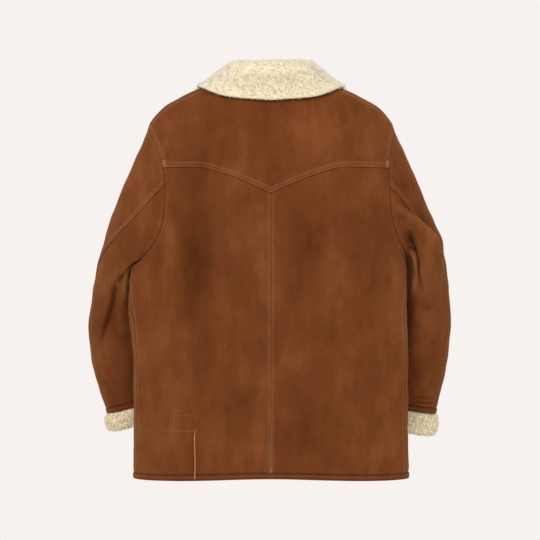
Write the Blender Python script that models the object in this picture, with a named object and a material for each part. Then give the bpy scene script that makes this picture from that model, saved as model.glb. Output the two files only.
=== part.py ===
"""A shearling coat, hollow and filled out as it is when worn.

Metres, +Z up. The wearer faces -Y and the wearer's left is +X. The origin is the middle of the
neck opening, at the height where the shoulder line meets the collar. The skin side is outside,
the clipped wool is inside, and both are one wall. The body is a stack of level rings. A point of
it is named by its turn, in degrees from the centre back towards the wearer's left, and its
height z. The pieces are cut from that surface along seams that neighbours share point by point.
"""

import math
from collections import namedtuple

import bmesh
import bpy
import numpy as np

# Walls and clearances
BODY_WALL = 0.007
COLLAR_WALL = 0.014
CUFF_WALL = 0.012
SEAM_GAP = 0.0003
LAP_CLEARANCE = 0.0006
COLLAR_CLEARANCE = 0.003
SLEEVE_CLEARANCE = 0.004

# Body
HEM_HEIGHT = -0.781
HEM_BACK_RISE = 0.007
HEM_BACK_REACH = 30.0
HEM_BAND_HEIGHT = 0.0115
HemRound = namedtuple("HemRound", "share swell")
HEM_ROUNDS = (
    HemRound(0.00, 0.0),
    HemRound(0.25, 0.0012),
    HemRound(0.75, 0.0012),
    HemRound(1.00, 0.0),
)
BACK_POWER = 2.4
FRONT_POWER = 2.0
SIDE_SEAM_TURN = 70.0
SIDE_SEAM_BEND = 0.72
LAP_TURN = 186.2
LAP_EASE_START = 161.0
LAP_EASE_END = 172.5
YOKE_LEVEL = -0.169
YOKE_DROP = 0.053
YOKE_REACH = 0.145
YOKE_POWER = 1.35
YOKE_FITTING_ROUNDS = 6
DRAPE_FADE_DEPTH = 0.06

# Steps over which the surfaces' directions are read, and how finely their curves are
TINY = 1e-12
BODY_TURN_STEP = 0.5
BODY_HEIGHT_STEP = 0.001
SLEEVE_CLOCK_STEP = 2.0
SLEEVE_ALONG_STEP = 0.01
SLEEVE_ALONG_ENDS = (0.012, 0.988)
NECK_SAMPLES = 240
COLLAR_SAMPLES = 200

# Places round the armhole, as clock angles: 0 at its top and 90 at its back
SHOULDER_CLOCK = 21.0
SHOULDER_NECK_TURN = 46.0
UNDERARM_CLOCK = 180.0

# Cells along each seam
SIDE_CELLS = 11
LOWER_ARMHOLE_CELLS = 7
YOKE_ARMHOLE_CELLS = 5
FRONT_ARMHOLE_CELLS = 9
HALF_BACK_CELLS = 12
SHOULDER_CELLS = 4
WIDE_CELLS = 9
PLACKET_CELLS = 4
SLEEVE_CELLS = 14
INNER_SEAM_CELL = 2
CHART_METRES_PER_DEGREE = 0.0036
EVENING_ROUNDS = 600
EVENING_STEP = 0.7
COLLAR_CELLS = 44
COLLAR_PROFILE_CELLS = 12

# Small pieces
BUTTON_HEIGHTS = (-0.16, -0.30, -0.44, -0.58)
BUTTON_RADIUS = 0.014
BUTTON_THICKNESS = 0.0055
BUTTON_TAPER = 0.86
BUTTON_SIDES = 20
BUTTON_LIFT = 0.0002
CUFF_BAND_HEIGHT = 0.012
CUFF_LEAN = -0.12
CUFF_CELLS = 20
CuffRound = namedtuple("CuffRound", "share swell wall")
BAND_ROUNDS = (
    CuffRound(0.0, 0.0, 1.0),
    CuffRound(0.2, 0.0016, 1.2),
    CuffRound(0.8, 0.0016, 1.2),
    CuffRound(1.0, 0.0, 1.0),
)
FLEECE_ROUNDS = (
    CuffRound(0.00, -0.001, 0.75),
    CuffRound(0.10, 0.006, 1.20),
    CuffRound(0.40, 0.011, 1.45),
    CuffRound(0.75, 0.011, 1.40),
    CuffRound(0.94, 0.006, 0.90),
    CuffRound(1.00, -0.002, 0.25),
)
MEND_X = 0.1505
MEND_TOP = -0.694
MEND_RADIUS = 0.0014
MEND_CELLS = 12
MEND_END_RISE = 0.0015
MEND_LIFT = 0.0006
MEND_ROUNDNESS = 2
MEND_FIRST_TURN = 32.0
MEND_DEGREES_PER_METRE = 200.0
MEND_FITTING_ROUNDS = 12

Ring = namedtuple("Ring", "z half_width back front middle")
TORSO = (
    Ring(-0.820, 0.2785, 0.112, -0.126, 0.028),
    Ring(-0.660, 0.2780, 0.113, -0.123, 0.030),
    Ring(-0.500, 0.2765, 0.113, -0.122, 0.030),
    Ring(-0.400, 0.2745, 0.114, -0.122, 0.030),
    Ring(-0.330, 0.2720, 0.115, -0.122, 0.030),
    Ring(-0.240, 0.2660, 0.114, -0.121, 0.026),
    Ring(-0.150, 0.2580, 0.110, -0.116, 0.022),
    Ring(-0.0800, 0.2476, 0.1040, -0.106, 0.018),
    Ring(-0.0436, 0.2186, 0.0980, -0.094, 0.016),
    Ring(-0.0273, 0.1911, 0.0930, -0.086, 0.015),
    Ring(-0.0111, 0.1606, 0.0875, -0.077, 0.014),
    Ring(-0.0050, 0.1430, 0.0845, -0.073, 0.013),
    Ring(0.0030, 0.1210, 0.0805, -0.067, 0.012),
    Ring(0.0130, 0.0980, 0.0750, -0.060, 0.012),
    Ring(0.0225, 0.0800, 0.0690, -0.053, 0.012),
    Ring(0.0300, 0.0700, 0.0640, -0.046, 0.012),
)

Neck = namedtuple("Neck", "turn z")
NECKLINE = (
    Neck(0.0, 0.0100),
    Neck(30.0, 0.0130),
    Neck(60.0, 0.0205),
    Neck(90.0, 0.0245),
    Neck(110.0, 0.0180),
    Neck(125.0, 0.0103),
    Neck(140.0, -0.0016),
    Neck(150.0, -0.0139),
    Neck(160.0, -0.0436),
    Neck(166.0, -0.0780),
    Neck(172.0, -0.1040),
    Neck(180.0, -0.1180),
    Neck(190.0, -0.1220),
)

Armhole = namedtuple(
    "Armhole", "top bottom top_turn bottom_turn back_reach front_reach upper_power under_power elbow"
)
LEFT_ARMHOLE = Armhole(-0.080, -0.355, 92.0, 88.0, 41.0, 38.0, 2.2, 2.9, 84.0)
RIGHT_ARMHOLE = Armhole(-0.080, -0.338, 92.0, 90.0, 32.0, 38.0, 2.2, 2.8, 88.0)

Sleeve = namedtuple("Sleeve", "along outer_x outer_z inner_x inner_z half_depth middle_y")
SLEEVE = (
    Sleeve(0.00, 0.2476, -0.0800, 0.2725, -0.3550, 0.085, 0.003),
    Sleeve(0.10, 0.2720, -0.1233, 0.2860, -0.3720, 0.085, 0.001),
    Sleeve(0.22, 0.3000, -0.1888, 0.2855, -0.3930, 0.083, -0.004),
    Sleeve(0.36, 0.3302, -0.2707, 0.2740, -0.4190, 0.079, -0.014),
    Sleeve(0.48, 0.3520, -0.3443, 0.2660, -0.4440, 0.075, -0.028),
    Sleeve(0.60, 0.3680, -0.4180, 0.2620, -0.4730, 0.070, -0.044),
    Sleeve(0.71, 0.3800, -0.4850, 0.2590, -0.5070, 0.065, -0.061),
    Sleeve(0.82, 0.3770, -0.5570, 0.2580, -0.5500, 0.060, -0.077),
    Sleeve(0.93, 0.3600, -0.6260, 0.2530, -0.6030, 0.055, -0.092),
    Sleeve(1.00, 0.3490, -0.6640, 0.2490, -0.6370, 0.052, -0.100),
)
ArmShift = namedtuple("ArmShift", "along outer inner lift")
LEFT_ARM_SHIFT = (ArmShift(0.0, 0.0, 0.0, 0.0), ArmShift(1.0, 0.0, 0.0, 0.0))
RIGHT_ARM_SHIFT = (
    ArmShift(0.00, 0.000, 0.000, 0.017),
    ArmShift(0.25, -0.001, -0.002, 0.010),
    ArmShift(0.45, 0.006, -0.004, 0.003),
    ArmShift(0.62, 0.000, -0.004, 0.000),
    ArmShift(0.80, -0.006, -0.004, -0.003),
    ArmShift(1.00, 0.001, -0.002, -0.009),
)
SLEEVE_BLEND = 0.45
CLEARANCE_SOFTNESS = 0.006
WALL_EASE_CLOCK = 14.0
WALL_EASE_ALONG = 0.06
WALL_OWN_WEIGHT = 2
WALL_LEAST_SHARE = 0.5
CLEARING_ALONG = 0.16
CLEARING_UNDER = 0.7
FAIRING_ROUNDS = 4
FAIRING_SHARE = 0.5
FAIRING_END = (0.25, 0.5)

SeamTurn = namedtuple("SeamTurn", "along elbow inner")
LEFT_SEAMS = (
    SeamTurn(0.00, 84.0, 224.7),
    SeamTurn(0.14, 81.0, 222.0),
    SeamTurn(0.25, 74.0, 220.0),
    SeamTurn(0.36, 58.0, 217.0),
    SeamTurn(0.46, 32.0, 214.0),
    SeamTurn(0.60, 2.0, 212.0),
    SeamTurn(1.00, -15.0, 208.0),
)
RIGHT_SEAMS = (
    SeamTurn(0.00, 88.0, 224.7),
    SeamTurn(0.14, 80.0, 222.0),
    SeamTurn(0.25, 67.0, 220.0),
    SeamTurn(0.36, 50.0, 217.0),
    SeamTurn(0.46, 29.0, 214.0),
    SeamTurn(0.60, 0.0, 212.0),
    SeamTurn(1.00, -15.0, 208.0),
)

Collar = namedtuple("Collar", "turn rise spread edge_turn edge_z")
COLLAR_TILT = 0.08
COLLAR_FLAT_TURNS = (100.0, 150.0)
COLLAR_HALF_RISE = 0.55
COLLAR_STAND_SINK = 0.0015
COLLAR_STAND_RISE = 0.0024
COLLAR_WAIST_SINK = 0.002
COLLAR_SHOULDER_SPREAD = 0.003
COLLAR_FALL_SHARES = (0.10, 0.32)
COLLAR_STAND_FREEDOM = 0.03
COLLAR_SOFTNESS = 0.0008
COLLAR_STAND_SHARE = 0.8
COLLAR_EDGE_SHARE = 0.45
COLLAR = (
    Collar(0.0, 0.031, 0.010, 0.0, -0.0360),
    Collar(30.0, 0.029, 0.010, 24.0, -0.0335),
    Collar(45.0, 0.0260, 0.009, 36.0, -0.0290),
    Collar(60.0, 0.0185, 0.009, 48.0, -0.0220),
    Collar(80.0, 0.013, 0.009, 76.0, -0.0060),
    Collar(92.0, 0.012, 0.009, 98.0, -0.0060),
    Collar(104.0, 0.012, 0.009, 113.0, -0.0180),
    Collar(118.0, 0.013, 0.009, 123.0, -0.0360),
    Collar(134.0, 0.013, 0.009, 132.0, -0.0600),
    Collar(152.0, 0.013, 0.009, 142.0, -0.0950),
    Collar(166.0, 0.012, 0.009, 149.0, -0.1320),
    Collar(174.0, 0.012, 0.009, 153.0, -0.1580),
)

Drape = namedtuple("Drape", "x z half_width half_height depth")
BACK_DRAPES = (
    Drape(0.150, -0.330, 0.040, 0.130, 0.0070),
    Drape(-0.120, -0.420, 0.045, 0.150, 0.0035),
    Drape(0.040, -0.620, 0.040, 0.120, 0.0030),
    Drape(-0.215, -0.360, 0.022, 0.070, 0.0030),
    Drape(0.225, -0.560, 0.025, 0.120, -0.0030),
    Drape(-0.030, -0.110, 0.035, 0.050, -0.0025),
)

SleeveFold = namedtuple("SleeveFold", "clock along half_clock half_along depth")
LEFT_FOLDS = (
    SleeveFold(140.0, 0.46, 30.0, 0.11, 0.008),
    SleeveFold(125.0, 0.62, 32.0, 0.10, 0.012),
    SleeveFold(115.0, 0.76, 26.0, 0.08, 0.006),
)
RIGHT_FOLDS = (
    SleeveFold(140.0, 0.30, 24.0, 0.09, 0.009),
    SleeveFold(130.0, 0.52, 24.0, 0.10, 0.007),
)

Arm = namedtuple("Arm", "side armhole shift seams folds fleece_height")
LEFT_ARM = Arm(1.0, LEFT_ARMHOLE, LEFT_ARM_SHIFT, LEFT_SEAMS, LEFT_FOLDS, 0.042)
RIGHT_ARM = Arm(-1.0, RIGHT_ARMHOLE, RIGHT_ARM_SHIFT, RIGHT_SEAMS, RIGHT_FOLDS, 0.051)

Finish = namedtuple("Finish", "name colour roughness")
SUEDE = Finish("suede", (0.175, 0.055, 0.018, 1.0), 0.85)
SUEDE_BAND = Finish("suede_band", (0.150, 0.045, 0.014, 1.0), 0.85)
FLEECE = Finish("fleece", (0.83, 0.74, 0.56, 1.0), 0.95)
HORN = Finish("horn", (0.055, 0.022, 0.010, 1.0), 0.35)
THREAD = Finish("thread", (0.50, 0.16, 0.07, 1.0), 0.7)


def material(part_name, finish):
    """The part's own Principled material, in this finish."""
    made = bpy.data.materials.new(f"{part_name}_{finish.name}")
    made.use_nodes = True
    shader = made.node_tree.nodes["Principled BSDF"]
    shader.inputs["Base Color"].default_value = finish.colour
    shader.inputs["Roughness"].default_value = finish.roughness
    shader.inputs["Metallic"].default_value = 0.0
    made.diffuse_color = finish.colour
    return made


def smooth_through(xs, ys, at):
    """Reads a smooth curve through (xs, ys) that doesn't overshoot between its points."""
    xs, ys, at = np.asarray(xs, float), np.asarray(ys, float), np.asarray(at, float)
    step = np.diff(xs)
    slope = np.diff(ys) / step
    tangent = np.concatenate([[slope[0]], np.zeros(len(xs) - 2), [slope[-1]]])
    same_way = slope[:-1] * slope[1:] > 0
    before = 2 * step[1:] + step[:-1]
    after = step[1:] + 2 * step[:-1]
    with np.errstate(divide="ignore", invalid="ignore"):
        mean = (before + after) / (before / slope[:-1] + after / slope[1:])
    tangent[1:-1] = np.where(same_way, mean, 0.0)
    cell = np.clip(np.searchsorted(xs, at, side="right") - 1, 0, len(xs) - 2)
    t = np.clip((at - xs[cell]) / step[cell], 0.0, 1.0)
    return (
        ys[cell] * (2 * t**3 - 3 * t**2 + 1)
        + tangent[cell] * step[cell] * (t**3 - 2 * t**2 + t)
        + ys[cell + 1] * (3 * t**2 - 2 * t**3)
        + tangent[cell + 1] * step[cell] * (t**3 - t**2)
    )


def column(table, name, at):
    """Reads the named column of a table at each value of the table's first column."""
    return smooth_through([row[0] for row in table], [getattr(row, name) for row in table], at)


def smoothstep(low, high, value):
    """0 up to low and 1 from high on, with a smooth climb between them."""
    t = np.clip((np.asarray(value, float) - low) / (high - low), 0.0, 1.0)
    return t * t * (3 - 2 * t)


def unit(vectors):
    """The vectors at length one."""
    return vectors / np.maximum(np.linalg.norm(vectors, axis=-1, keepdims=True), TINY)


def ring_scale(turn):
    """(sine, cosine) of a turn, stretched on to the ring's superellipse."""
    sine, cosine = np.sin(np.radians(turn)), np.cos(np.radians(turn))
    power = np.where(cosine > 0, BACK_POWER, FRONT_POWER)
    scale = (np.abs(sine) ** power + np.abs(cosine) ** power) ** (-1 / power)
    return sine * scale, cosine * scale


def torso_plain(turn, z):
    """The filled-out body without its soft hollows."""
    across, along = ring_scale(turn)
    middle = column(TORSO, "middle", z)
    depth = np.where(along > 0, column(TORSO, "back", z) - middle, middle - column(TORSO, "front", z))
    x = column(TORSO, "half_width", z) * across
    return np.stack([x, middle + depth * along, z + 0 * x], axis=-1)


def torso_normal(turn, z):
    """The outward direction of the body at this turn and height."""
    turn, z = np.broadcast_arrays(np.asarray(turn, float), np.asarray(z, float))
    round_it = torso_plain(turn + BODY_TURN_STEP, z) - torso_plain(turn - BODY_TURN_STEP, z)
    up_it = torso_plain(turn, z + BODY_HEIGHT_STEP) - torso_plain(turn, z - BODY_HEIGHT_STEP)
    return unit(np.cross(up_it, round_it))


def drape_depth(points):
    """How far the soft hollows of the back sink each point."""
    depth = np.zeros(points.shape[:-1])
    for drape in BACK_DRAPES:
        across = (points[..., 0] - drape.x) / drape.half_width
        upward = (points[..., 2] - drape.z) / drape.half_height
        depth += drape.depth * np.exp(-across**2 - upward**2)
    return depth * smoothstep(0.0, DRAPE_FADE_DEPTH, points[..., 1])


def torso(turn, z):
    """The body's outer surface."""
    points = torso_plain(turn, z)
    return points - torso_normal(turn, z) * drape_depth(points)[..., None]


def armhole(clock, arm):
    """(turn, z) of an armhole at this clock angle, as on the wearer's left."""
    hole = arm.armhole
    sine, cosine = np.sin(np.radians(clock)), np.cos(np.radians(clock))
    under_back = (sine > 0) & (cosine < 0)
    power = np.where(under_back, hole.under_power, hole.upper_power)
    scale = (np.abs(sine) ** power + np.abs(cosine) ** power) ** (-1 / power)
    lean = (hole.top_turn - hole.bottom_turn) / 2
    reach = np.where(sine > 0, hole.back_reach, hole.front_reach)
    turn = (hole.top_turn + hole.bottom_turn) / 2 + lean * cosine * scale - reach * sine * scale
    half_height = (hole.top - hole.bottom) / 2
    return turn, (hole.top + hole.bottom) / 2 + half_height * cosine * scale


def armhole_seam(clock, arm):
    """The armhole's points on the body, as on the wearer's left."""
    turn, z = armhole(clock, arm)
    return torso(turn * arm.side, z) * np.array([arm.side, 1.0, 1.0])


def yoke_clock(arm):
    """The clock angle at which the yoke's lower edge meets the armhole."""
    hole = arm.armhole
    upward = (YOKE_LEVEL - (hole.top + hole.bottom) / 2) / ((hole.top - hole.bottom) / 2)
    backward = (1 - upward**hole.upper_power) ** (1 / hole.upper_power)
    return math.degrees(math.atan2(backward, upward))


def chart(turn, z):
    """Pairs of turn and height, one row a point."""
    turn, z = np.broadcast_arrays(np.asarray(turn, float), np.asarray(z, float))
    return np.stack([turn, z], axis=-1)


def armhole_stations(start, stop, cells, arm):
    """Evenly turned stations along an armhole, from one clock angle to another."""
    return chart(*armhole(np.linspace(start, stop, cells + 1), arm))


def hem_height(turn):
    """The hem's height, which lifts a little at the centre back."""
    return HEM_HEIGHT + HEM_BACK_RISE * np.exp(-((np.asarray(turn) / HEM_BACK_REACH) ** 2))


def yoke_height(x):
    """The yoke's lower edge: level by the armholes, with a point at the centre back."""
    short = np.clip(1 - np.abs(x) / YOKE_REACH, 0.0, 1.0)
    return YOKE_LEVEL - YOKE_DROP * short**YOKE_POWER


def yoke_stations(arm):
    """The yoke seam from the centre back to an armhole, as on the wearer's left."""
    end_turn = float(armhole(yoke_clock(arm), arm)[0])
    turns = np.linspace(0.0, end_turn, HALF_BACK_CELLS + 1)
    z = np.full_like(turns, YOKE_LEVEL)
    for _ in range(YOKE_FITTING_ROUNDS):
        z = yoke_height(torso_plain(turns, z)[..., 0])
    return chart(turns, z)


def shoulder_stations(arm):
    """A shoulder seam, from the armhole to the neck, just behind the ridge."""
    end_turn, end_z = armhole(SHOULDER_CLOCK, arm)
    neck_z = float(column(NECKLINE, "z", SHOULDER_NECK_TURN))
    share = np.linspace(0.0, 1.0, SHOULDER_CELLS + 1)
    turns = end_turn + (SHOULDER_NECK_TURN - end_turn) * share
    return chart(turns, end_z + (neck_z - end_z) * share)


def neck_stations(turns):
    """Stations on the neck edge at these turns."""
    return chart(turns, column(NECKLINE, "z", np.abs(turns)))


def even_neck_turns(start, stop, cells):
    """Turns that are evenly spaced along the neck edge."""
    fine = np.linspace(start, stop, NECK_SAMPLES)
    points = torso_plain(fine, column(NECKLINE, "z", np.abs(fine)))
    run = np.concatenate([[0.0], np.cumsum(np.linalg.norm(np.diff(points, axis=0), axis=1))])
    return np.interp(np.linspace(0.0, run[-1], cells + 1), run, fine)


def yoke_neck_turns():
    """The turns of the yoke's columns where they end at the neck."""
    cells = 2 * (HALF_BACK_CELLS - SHOULDER_CELLS)
    return np.linspace(-SHOULDER_NECK_TURN, SHOULDER_NECK_TURN, cells + 1)


def neck_edge(turn):
    """A point of the neck edge, on the straight cells between the panels' own points."""
    front = np.concatenate([wide_turns(SHOULDER_NECK_TURN)[1:], placket_turns()])
    turns = np.concatenate([-front[::-1], yoke_neck_turns(), front])
    points = torso(*neck_stations(turns).T)
    return np.stack([np.interp(turn, turns, points[:, axis]) for axis in range(3)], axis=-1)


def joined(*routes):
    """Routes end to end, each joint written once."""
    return np.concatenate([routes[0]] + [route[1:] for route in routes[1:]])


def mirrored(stations):
    """The same stations on the other side of the body."""
    return stations * np.array([-1.0, 1.0])


def patch(bottom, top, first, last, rows=None):
    """A grid whose four edges are these stations, blended inside. rows are the shares of its rows."""
    u = np.linspace(0.0, 1.0, len(bottom))[None, :, None]
    v = (np.linspace(0.0, 1.0, len(first)) if rows is None else rows)[:, None, None]
    upward = (1 - v) * bottom[None] + v * top[None]
    across = (1 - u) * first[:, None] + u * last[:, None]
    corners = (1 - u) * ((1 - v) * bottom[0] + v * top[0]) + u * ((1 - v) * bottom[-1] + v * top[-1])
    return upward + across - corners


def evened(grid):
    """The grid with its inner points moved so that no cell folds over, by Winslow's equations."""
    points = grid * np.array([CHART_METRES_PER_DEGREE, 1.0])
    for _ in range(EVENING_ROUNDS):
        up, down, right, left = points[2:, 1:-1], points[:-2, 1:-1], points[1:-1, 2:], points[1:-1, :-2]
        upward, across = (up - down) / 2, (right - left) / 2
        rows = np.sum(upward**2, axis=-1, keepdims=True)
        columns = np.sum(across**2, axis=-1, keepdims=True)
        slant = np.sum(upward * across, axis=-1, keepdims=True)
        corners = points[2:, 2:] - points[2:, :-2] - points[:-2, 2:] + points[:-2, :-2]
        aim = (rows * (right + left) + columns * (up + down) - slant * corners / 2) / (2 * (rows + columns))
        points[1:-1, 1:-1] += (aim - points[1:-1, 1:-1]) * EVENING_STEP
    return points / np.array([CHART_METRES_PER_DEGREE, 1.0])


def drawn_in(points, gap=SEAM_GAP / 2):
    """The grid with its four edges moved inwards along the surface, to part it at its seams."""
    moved = points.copy()
    for axis, end, beside in ((0, 0, 1), (0, -1, -2), (1, 0, 1), (1, -1, -2)):
        edge = np.take(points, end, axis=axis)
        inward = np.take(points, beside, axis=axis) - edge
        along = unit(np.gradient(edge, axis=0))
        inward = unit(inward - along * np.sum(inward * along, axis=-1, keepdims=True))
        if axis == 0:
            moved[end] += inward * gap
        else:
            moved[:, end] += inward * gap
    return moved


def shell(name, outer, inner, finish, ring=False):
    """One closed wall between two grids of points, lofted face by face.

    Its edges stay square to the surface that neighbours share, so that they meet flush.
    """
    rows, columns = outer.shape[:2]
    count = rows * columns
    index = np.arange(count).reshape(rows, columns)
    if ring:
        index = np.concatenate([index, index[:, :1]], axis=1)
    lower, upper = index[:-1], index[1:]
    quads = np.stack([lower[:, :-1], lower[:, 1:], upper[:, 1:], upper[:, :-1]], axis=-1).reshape(-1, 4)
    faces = quads.tolist() + (quads[:, ::-1] + count).tolist()
    heights = outer.reshape(-1, 3)[:, 2]
    borders = [index[0], index[-1][::-1]]
    if not ring:
        borders += [index[:, -1], index[:, 0][::-1]]
    for border in borders:
        for a, b in zip(border[:-1].tolist(), border[1:].tolist()):
            if heights[a] < heights[b]:
                faces += [[b, a, b + count], [a, a + count, b + count]]
            else:
                faces += [[b, a, a + count], [b, a + count, b + count]]
    mesh = bpy.data.meshes.new(name)
    mesh.from_pydata(np.concatenate([outer.reshape(-1, 3), inner.reshape(-1, 3)]).tolist(), [], faces)
    build = bmesh.new()
    build.from_mesh(mesh)
    bmesh.ops.recalc_face_normals(build, faces=build.faces)
    bmesh.ops.triangulate(build, faces=build.faces)
    build.to_mesh(mesh)
    build.free()
    mesh.shade_smooth()
    return add_part(name, mesh, finish)


def add_part(name, data, finish):
    """Puts a piece into the coat's collection, under its root."""
    part = bpy.data.objects.new(name, data)
    data.materials.append(material(name, finish))
    bpy.data.collections["shearling_coat"].objects.link(part)
    part.parent = bpy.data.objects["coat_root"]
    return part


def body_panel(name, grid, sink=None):
    """A piece of the body's wall, from a grid of stations. sink moves points inwards."""
    turn, z = grid[..., 0], grid[..., 1]
    normal = torso_normal(turn, z)
    outer = torso(turn, z)
    if sink is not None:
        outer = outer - normal * sink[..., None]
    outer = drawn_in(outer)
    return shell(name, outer, outer - normal * BODY_WALL, SUEDE)


def side_stations(arm):
    """A side seam, from the hem to the underarm, where it runs forward a little."""
    under_turn, under_z = (float(value) for value in armhole(UNDERARM_CLOCK, arm))
    share = np.linspace(0.0, 1.0, SIDE_CELLS + 1)
    turn = SIDE_SEAM_TURN + (under_turn - SIDE_SEAM_TURN) * smoothstep(SIDE_SEAM_BEND, 1.0, share)
    low = float(hem_height(SIDE_SEAM_TURN))
    return chart(turn, low + (under_z - low) * share)


def hem_stations(start, stop, cells):
    """Stations along the hem, from one turn to another."""
    turns = np.linspace(start, stop, cells + 1)
    return chart(turns, hem_height(turns))


def make_back():
    """The yoke, and the two halves of the back below it."""
    halves = {}
    for arm, name in ((LEFT_ARM, "back_left"), (RIGHT_ARM, "back_right")):
        yoke_end = yoke_clock(arm)
        side = joined(
            side_stations(arm),
            armhole_stations(UNDERARM_CLOCK, arm.armhole.elbow, LOWER_ARMHOLE_CELLS, arm),
            armhole_stations(arm.armhole.elbow, yoke_end, 1, arm),
        )
        yoke = yoke_stations(arm)
        centre = chart(0.0, np.linspace(float(hem_height(0.0)), yoke[0, 1], len(side)))
        hem = hem_stations(0.0, SIDE_SEAM_TURN, HALF_BACK_CELLS)
        body_panel(name, patch(hem, yoke, centre, side) * np.array([arm.side, 1.0]))
        edge = armhole_stations(yoke_end, SHOULDER_CLOCK, YOKE_ARMHOLE_CELLS, arm)
        halves[name] = yoke, shoulder_stations(arm), edge
    left_yoke, left_shoulder, left_edge = halves["back_left"]
    right_yoke, right_shoulder, right_edge = (mirrored(route) for route in halves["back_right"])
    bottom = joined(right_yoke[::-1], left_yoke)
    top = joined(right_shoulder, neck_stations(yoke_neck_turns()), left_shoulder[::-1])
    body_panel("back_yoke", patch(bottom, top, right_edge, left_edge))


def wide_turns(start):
    """The turns of a front's columns up to its placket."""
    return np.linspace(start, LAP_EASE_START, WIDE_CELLS + 1)


def placket_turns():
    """The turns of a front's last columns, which stand upright along the lapped edge."""
    ease = np.linspace(LAP_EASE_START, LAP_EASE_END, PLACKET_CELLS // 2 + 1)
    lap = np.linspace(LAP_EASE_END, LAP_TURN, PLACKET_CELLS // 2 + 1)
    return np.concatenate([ease[1:], lap[1:]])


def lap_sink(turn, under):
    """How far the front that lies underneath is set in, under the other's lapped edge."""
    return under * smoothstep(LAP_EASE_START, LAP_EASE_END, turn)


def even_shares(values):
    """Shares of the way along these values, half by their size and half by their count."""
    by_size = (values - values[0]) / (values[-1] - values[0])
    return (by_size + np.linspace(0.0, 1.0, len(values))) / 2


def upright(turn, rows):
    """A column of stations at one turn, from the hem to the neck edge."""
    low, high = float(hem_height(turn)), float(column(NECKLINE, "z", turn))
    return chart(turn, low + (high - low) * rows)


def make_front(arm):
    """One front. Its outer edge is the side seam, the armhole and the shoulder seam."""
    outer_edge = joined(
        side_stations(arm),
        armhole_stations(UNDERARM_CLOCK, 360.0 + SHOULDER_CLOCK, FRONT_ARMHOLE_CELLS, arm),
        shoulder_stations(arm),
    )
    rows = even_shares(outer_edge[:, 1])
    wide = wide_turns(SIDE_SEAM_TURN)
    neck = neck_stations(wide_turns(SHOULDER_NECK_TURN))
    lap = upright(LAP_EASE_START, rows)
    grid = evened(patch(chart(wide, hem_height(wide)), neck, outer_edge, lap, rows))
    placket = [upright(turn, rows) for turn in placket_turns()]
    grid = np.concatenate([grid, np.stack(placket, axis=1)], axis=1)
    if arm is LEFT_ARM:
        body_panel("front_left", grid)
    else:
        sink = lap_sink(grid[..., 0], BODY_WALL + LAP_CLEARANCE)
        body_panel("front_right", mirrored(grid), sink)


def sleeve_edges(along, arm):
    """The outermost and the innermost point of a section."""
    middle_y = column(SLEEVE, "middle_y", along)
    outer_x = column(SLEEVE, "outer_x", along) + column(arm.shift, "outer", along)
    inner_x = column(SLEEVE, "inner_x", along) + column(arm.shift, "inner", along)
    inner_z = column(SLEEVE, "inner_z", along) + column(arm.shift, "lift", along)
    outer = np.stack([outer_x, middle_y, column(SLEEVE, "outer_z", along)], axis=-1)
    return outer, np.stack([inner_x, middle_y, inner_z], axis=-1)


def sleeve_centre(along, arm):
    """The middle of a section."""
    outer, inner = sleeve_edges(along, arm)
    return (outer + inner) / 2


def sleeve_section(clock, along, arm):
    """A point of the free sleeve's oval section, before it meets the armhole."""
    outer, inner = sleeve_edges(along, arm)
    angle = np.radians(clock)
    points = (outer + inner) / 2 + (outer - inner) / 2 * np.cos(angle)[..., None]
    points[..., 1] += column(SLEEVE, "half_depth", along) * np.sin(angle)
    return points


def lifted_off(points, least, softness):
    """Moves the points that lie nearer the body than least outwards, softly, until they clear it."""
    z = points[..., 2]
    middle = column(TORSO, "middle", z)
    back, front = column(TORSO, "back", z) - middle, middle - column(TORSO, "front", z)
    y = points[..., 1] - middle
    across = points[..., 0] / column(TORSO, "half_width", z)
    turn = np.degrees(np.arctan2(across, y / np.where(y > 0, back, front)))
    normal = torso_normal(turn, z)
    away = np.sum((points - torso_plain(turn, z)) * normal, axis=-1)
    lift = softness * np.logaddexp(0.0, (least - away) / softness)
    return points + normal * lift[..., None]


def sleeve_surface(clock, along, arm):
    """A sleeve's outer surface, as on the wearer's left."""
    clock, along = np.broadcast_arrays(np.asarray(clock, float), np.asarray(along, float))
    from_section = armhole_seam(clock, arm) - sleeve_section(clock, 0 * along, arm)
    held = 1 - smoothstep(0.0, SLEEVE_BLEND, along)[..., None]
    points = sleeve_section(clock, along, arm) + from_section * held
    inward = unit(sleeve_centre(along, arm) - points)
    for fold in arm.folds:
        turned = (np.mod(clock - fold.clock + 180.0, 360.0) - 180.0) / fold.half_clock
        slid = (along - fold.along) / fold.half_along
        points = points + inward * (fold.depth * np.exp(-(turned**2) - slid**2))[..., None]
    return clear_of_body(points, clock, along)


def clear_of_body(points, clock, along):
    """The sleeve's points with those of its lower side moved clear of the body, more so further down."""
    below = smoothstep(0.0, CLEARING_UNDER, -np.cos(np.radians(clock)))
    share = smoothstep(0.0, CLEARING_ALONG, along) * below
    cleared = lifted_off(points, SLEEVE_CLEARANCE * share, CLEARANCE_SOFTNESS)
    return points + (cleared - points) * share[..., None]


def sleeve_slopes(clock, along, arm):
    """(outward direction, step down the sleeve) of a sleeve's surface."""
    at = np.clip(along, *SLEEVE_ALONG_ENDS)
    turned, slid = SLEEVE_CLOCK_STEP, SLEEVE_ALONG_STEP
    round_it = sleeve_surface(clock + turned, at, arm) - sleeve_surface(clock - turned, at, arm)
    down_it = sleeve_surface(clock, at + slid, arm) - sleeve_surface(clock, at - slid, arm)
    return unit(np.cross(down_it, round_it)), down_it


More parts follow.
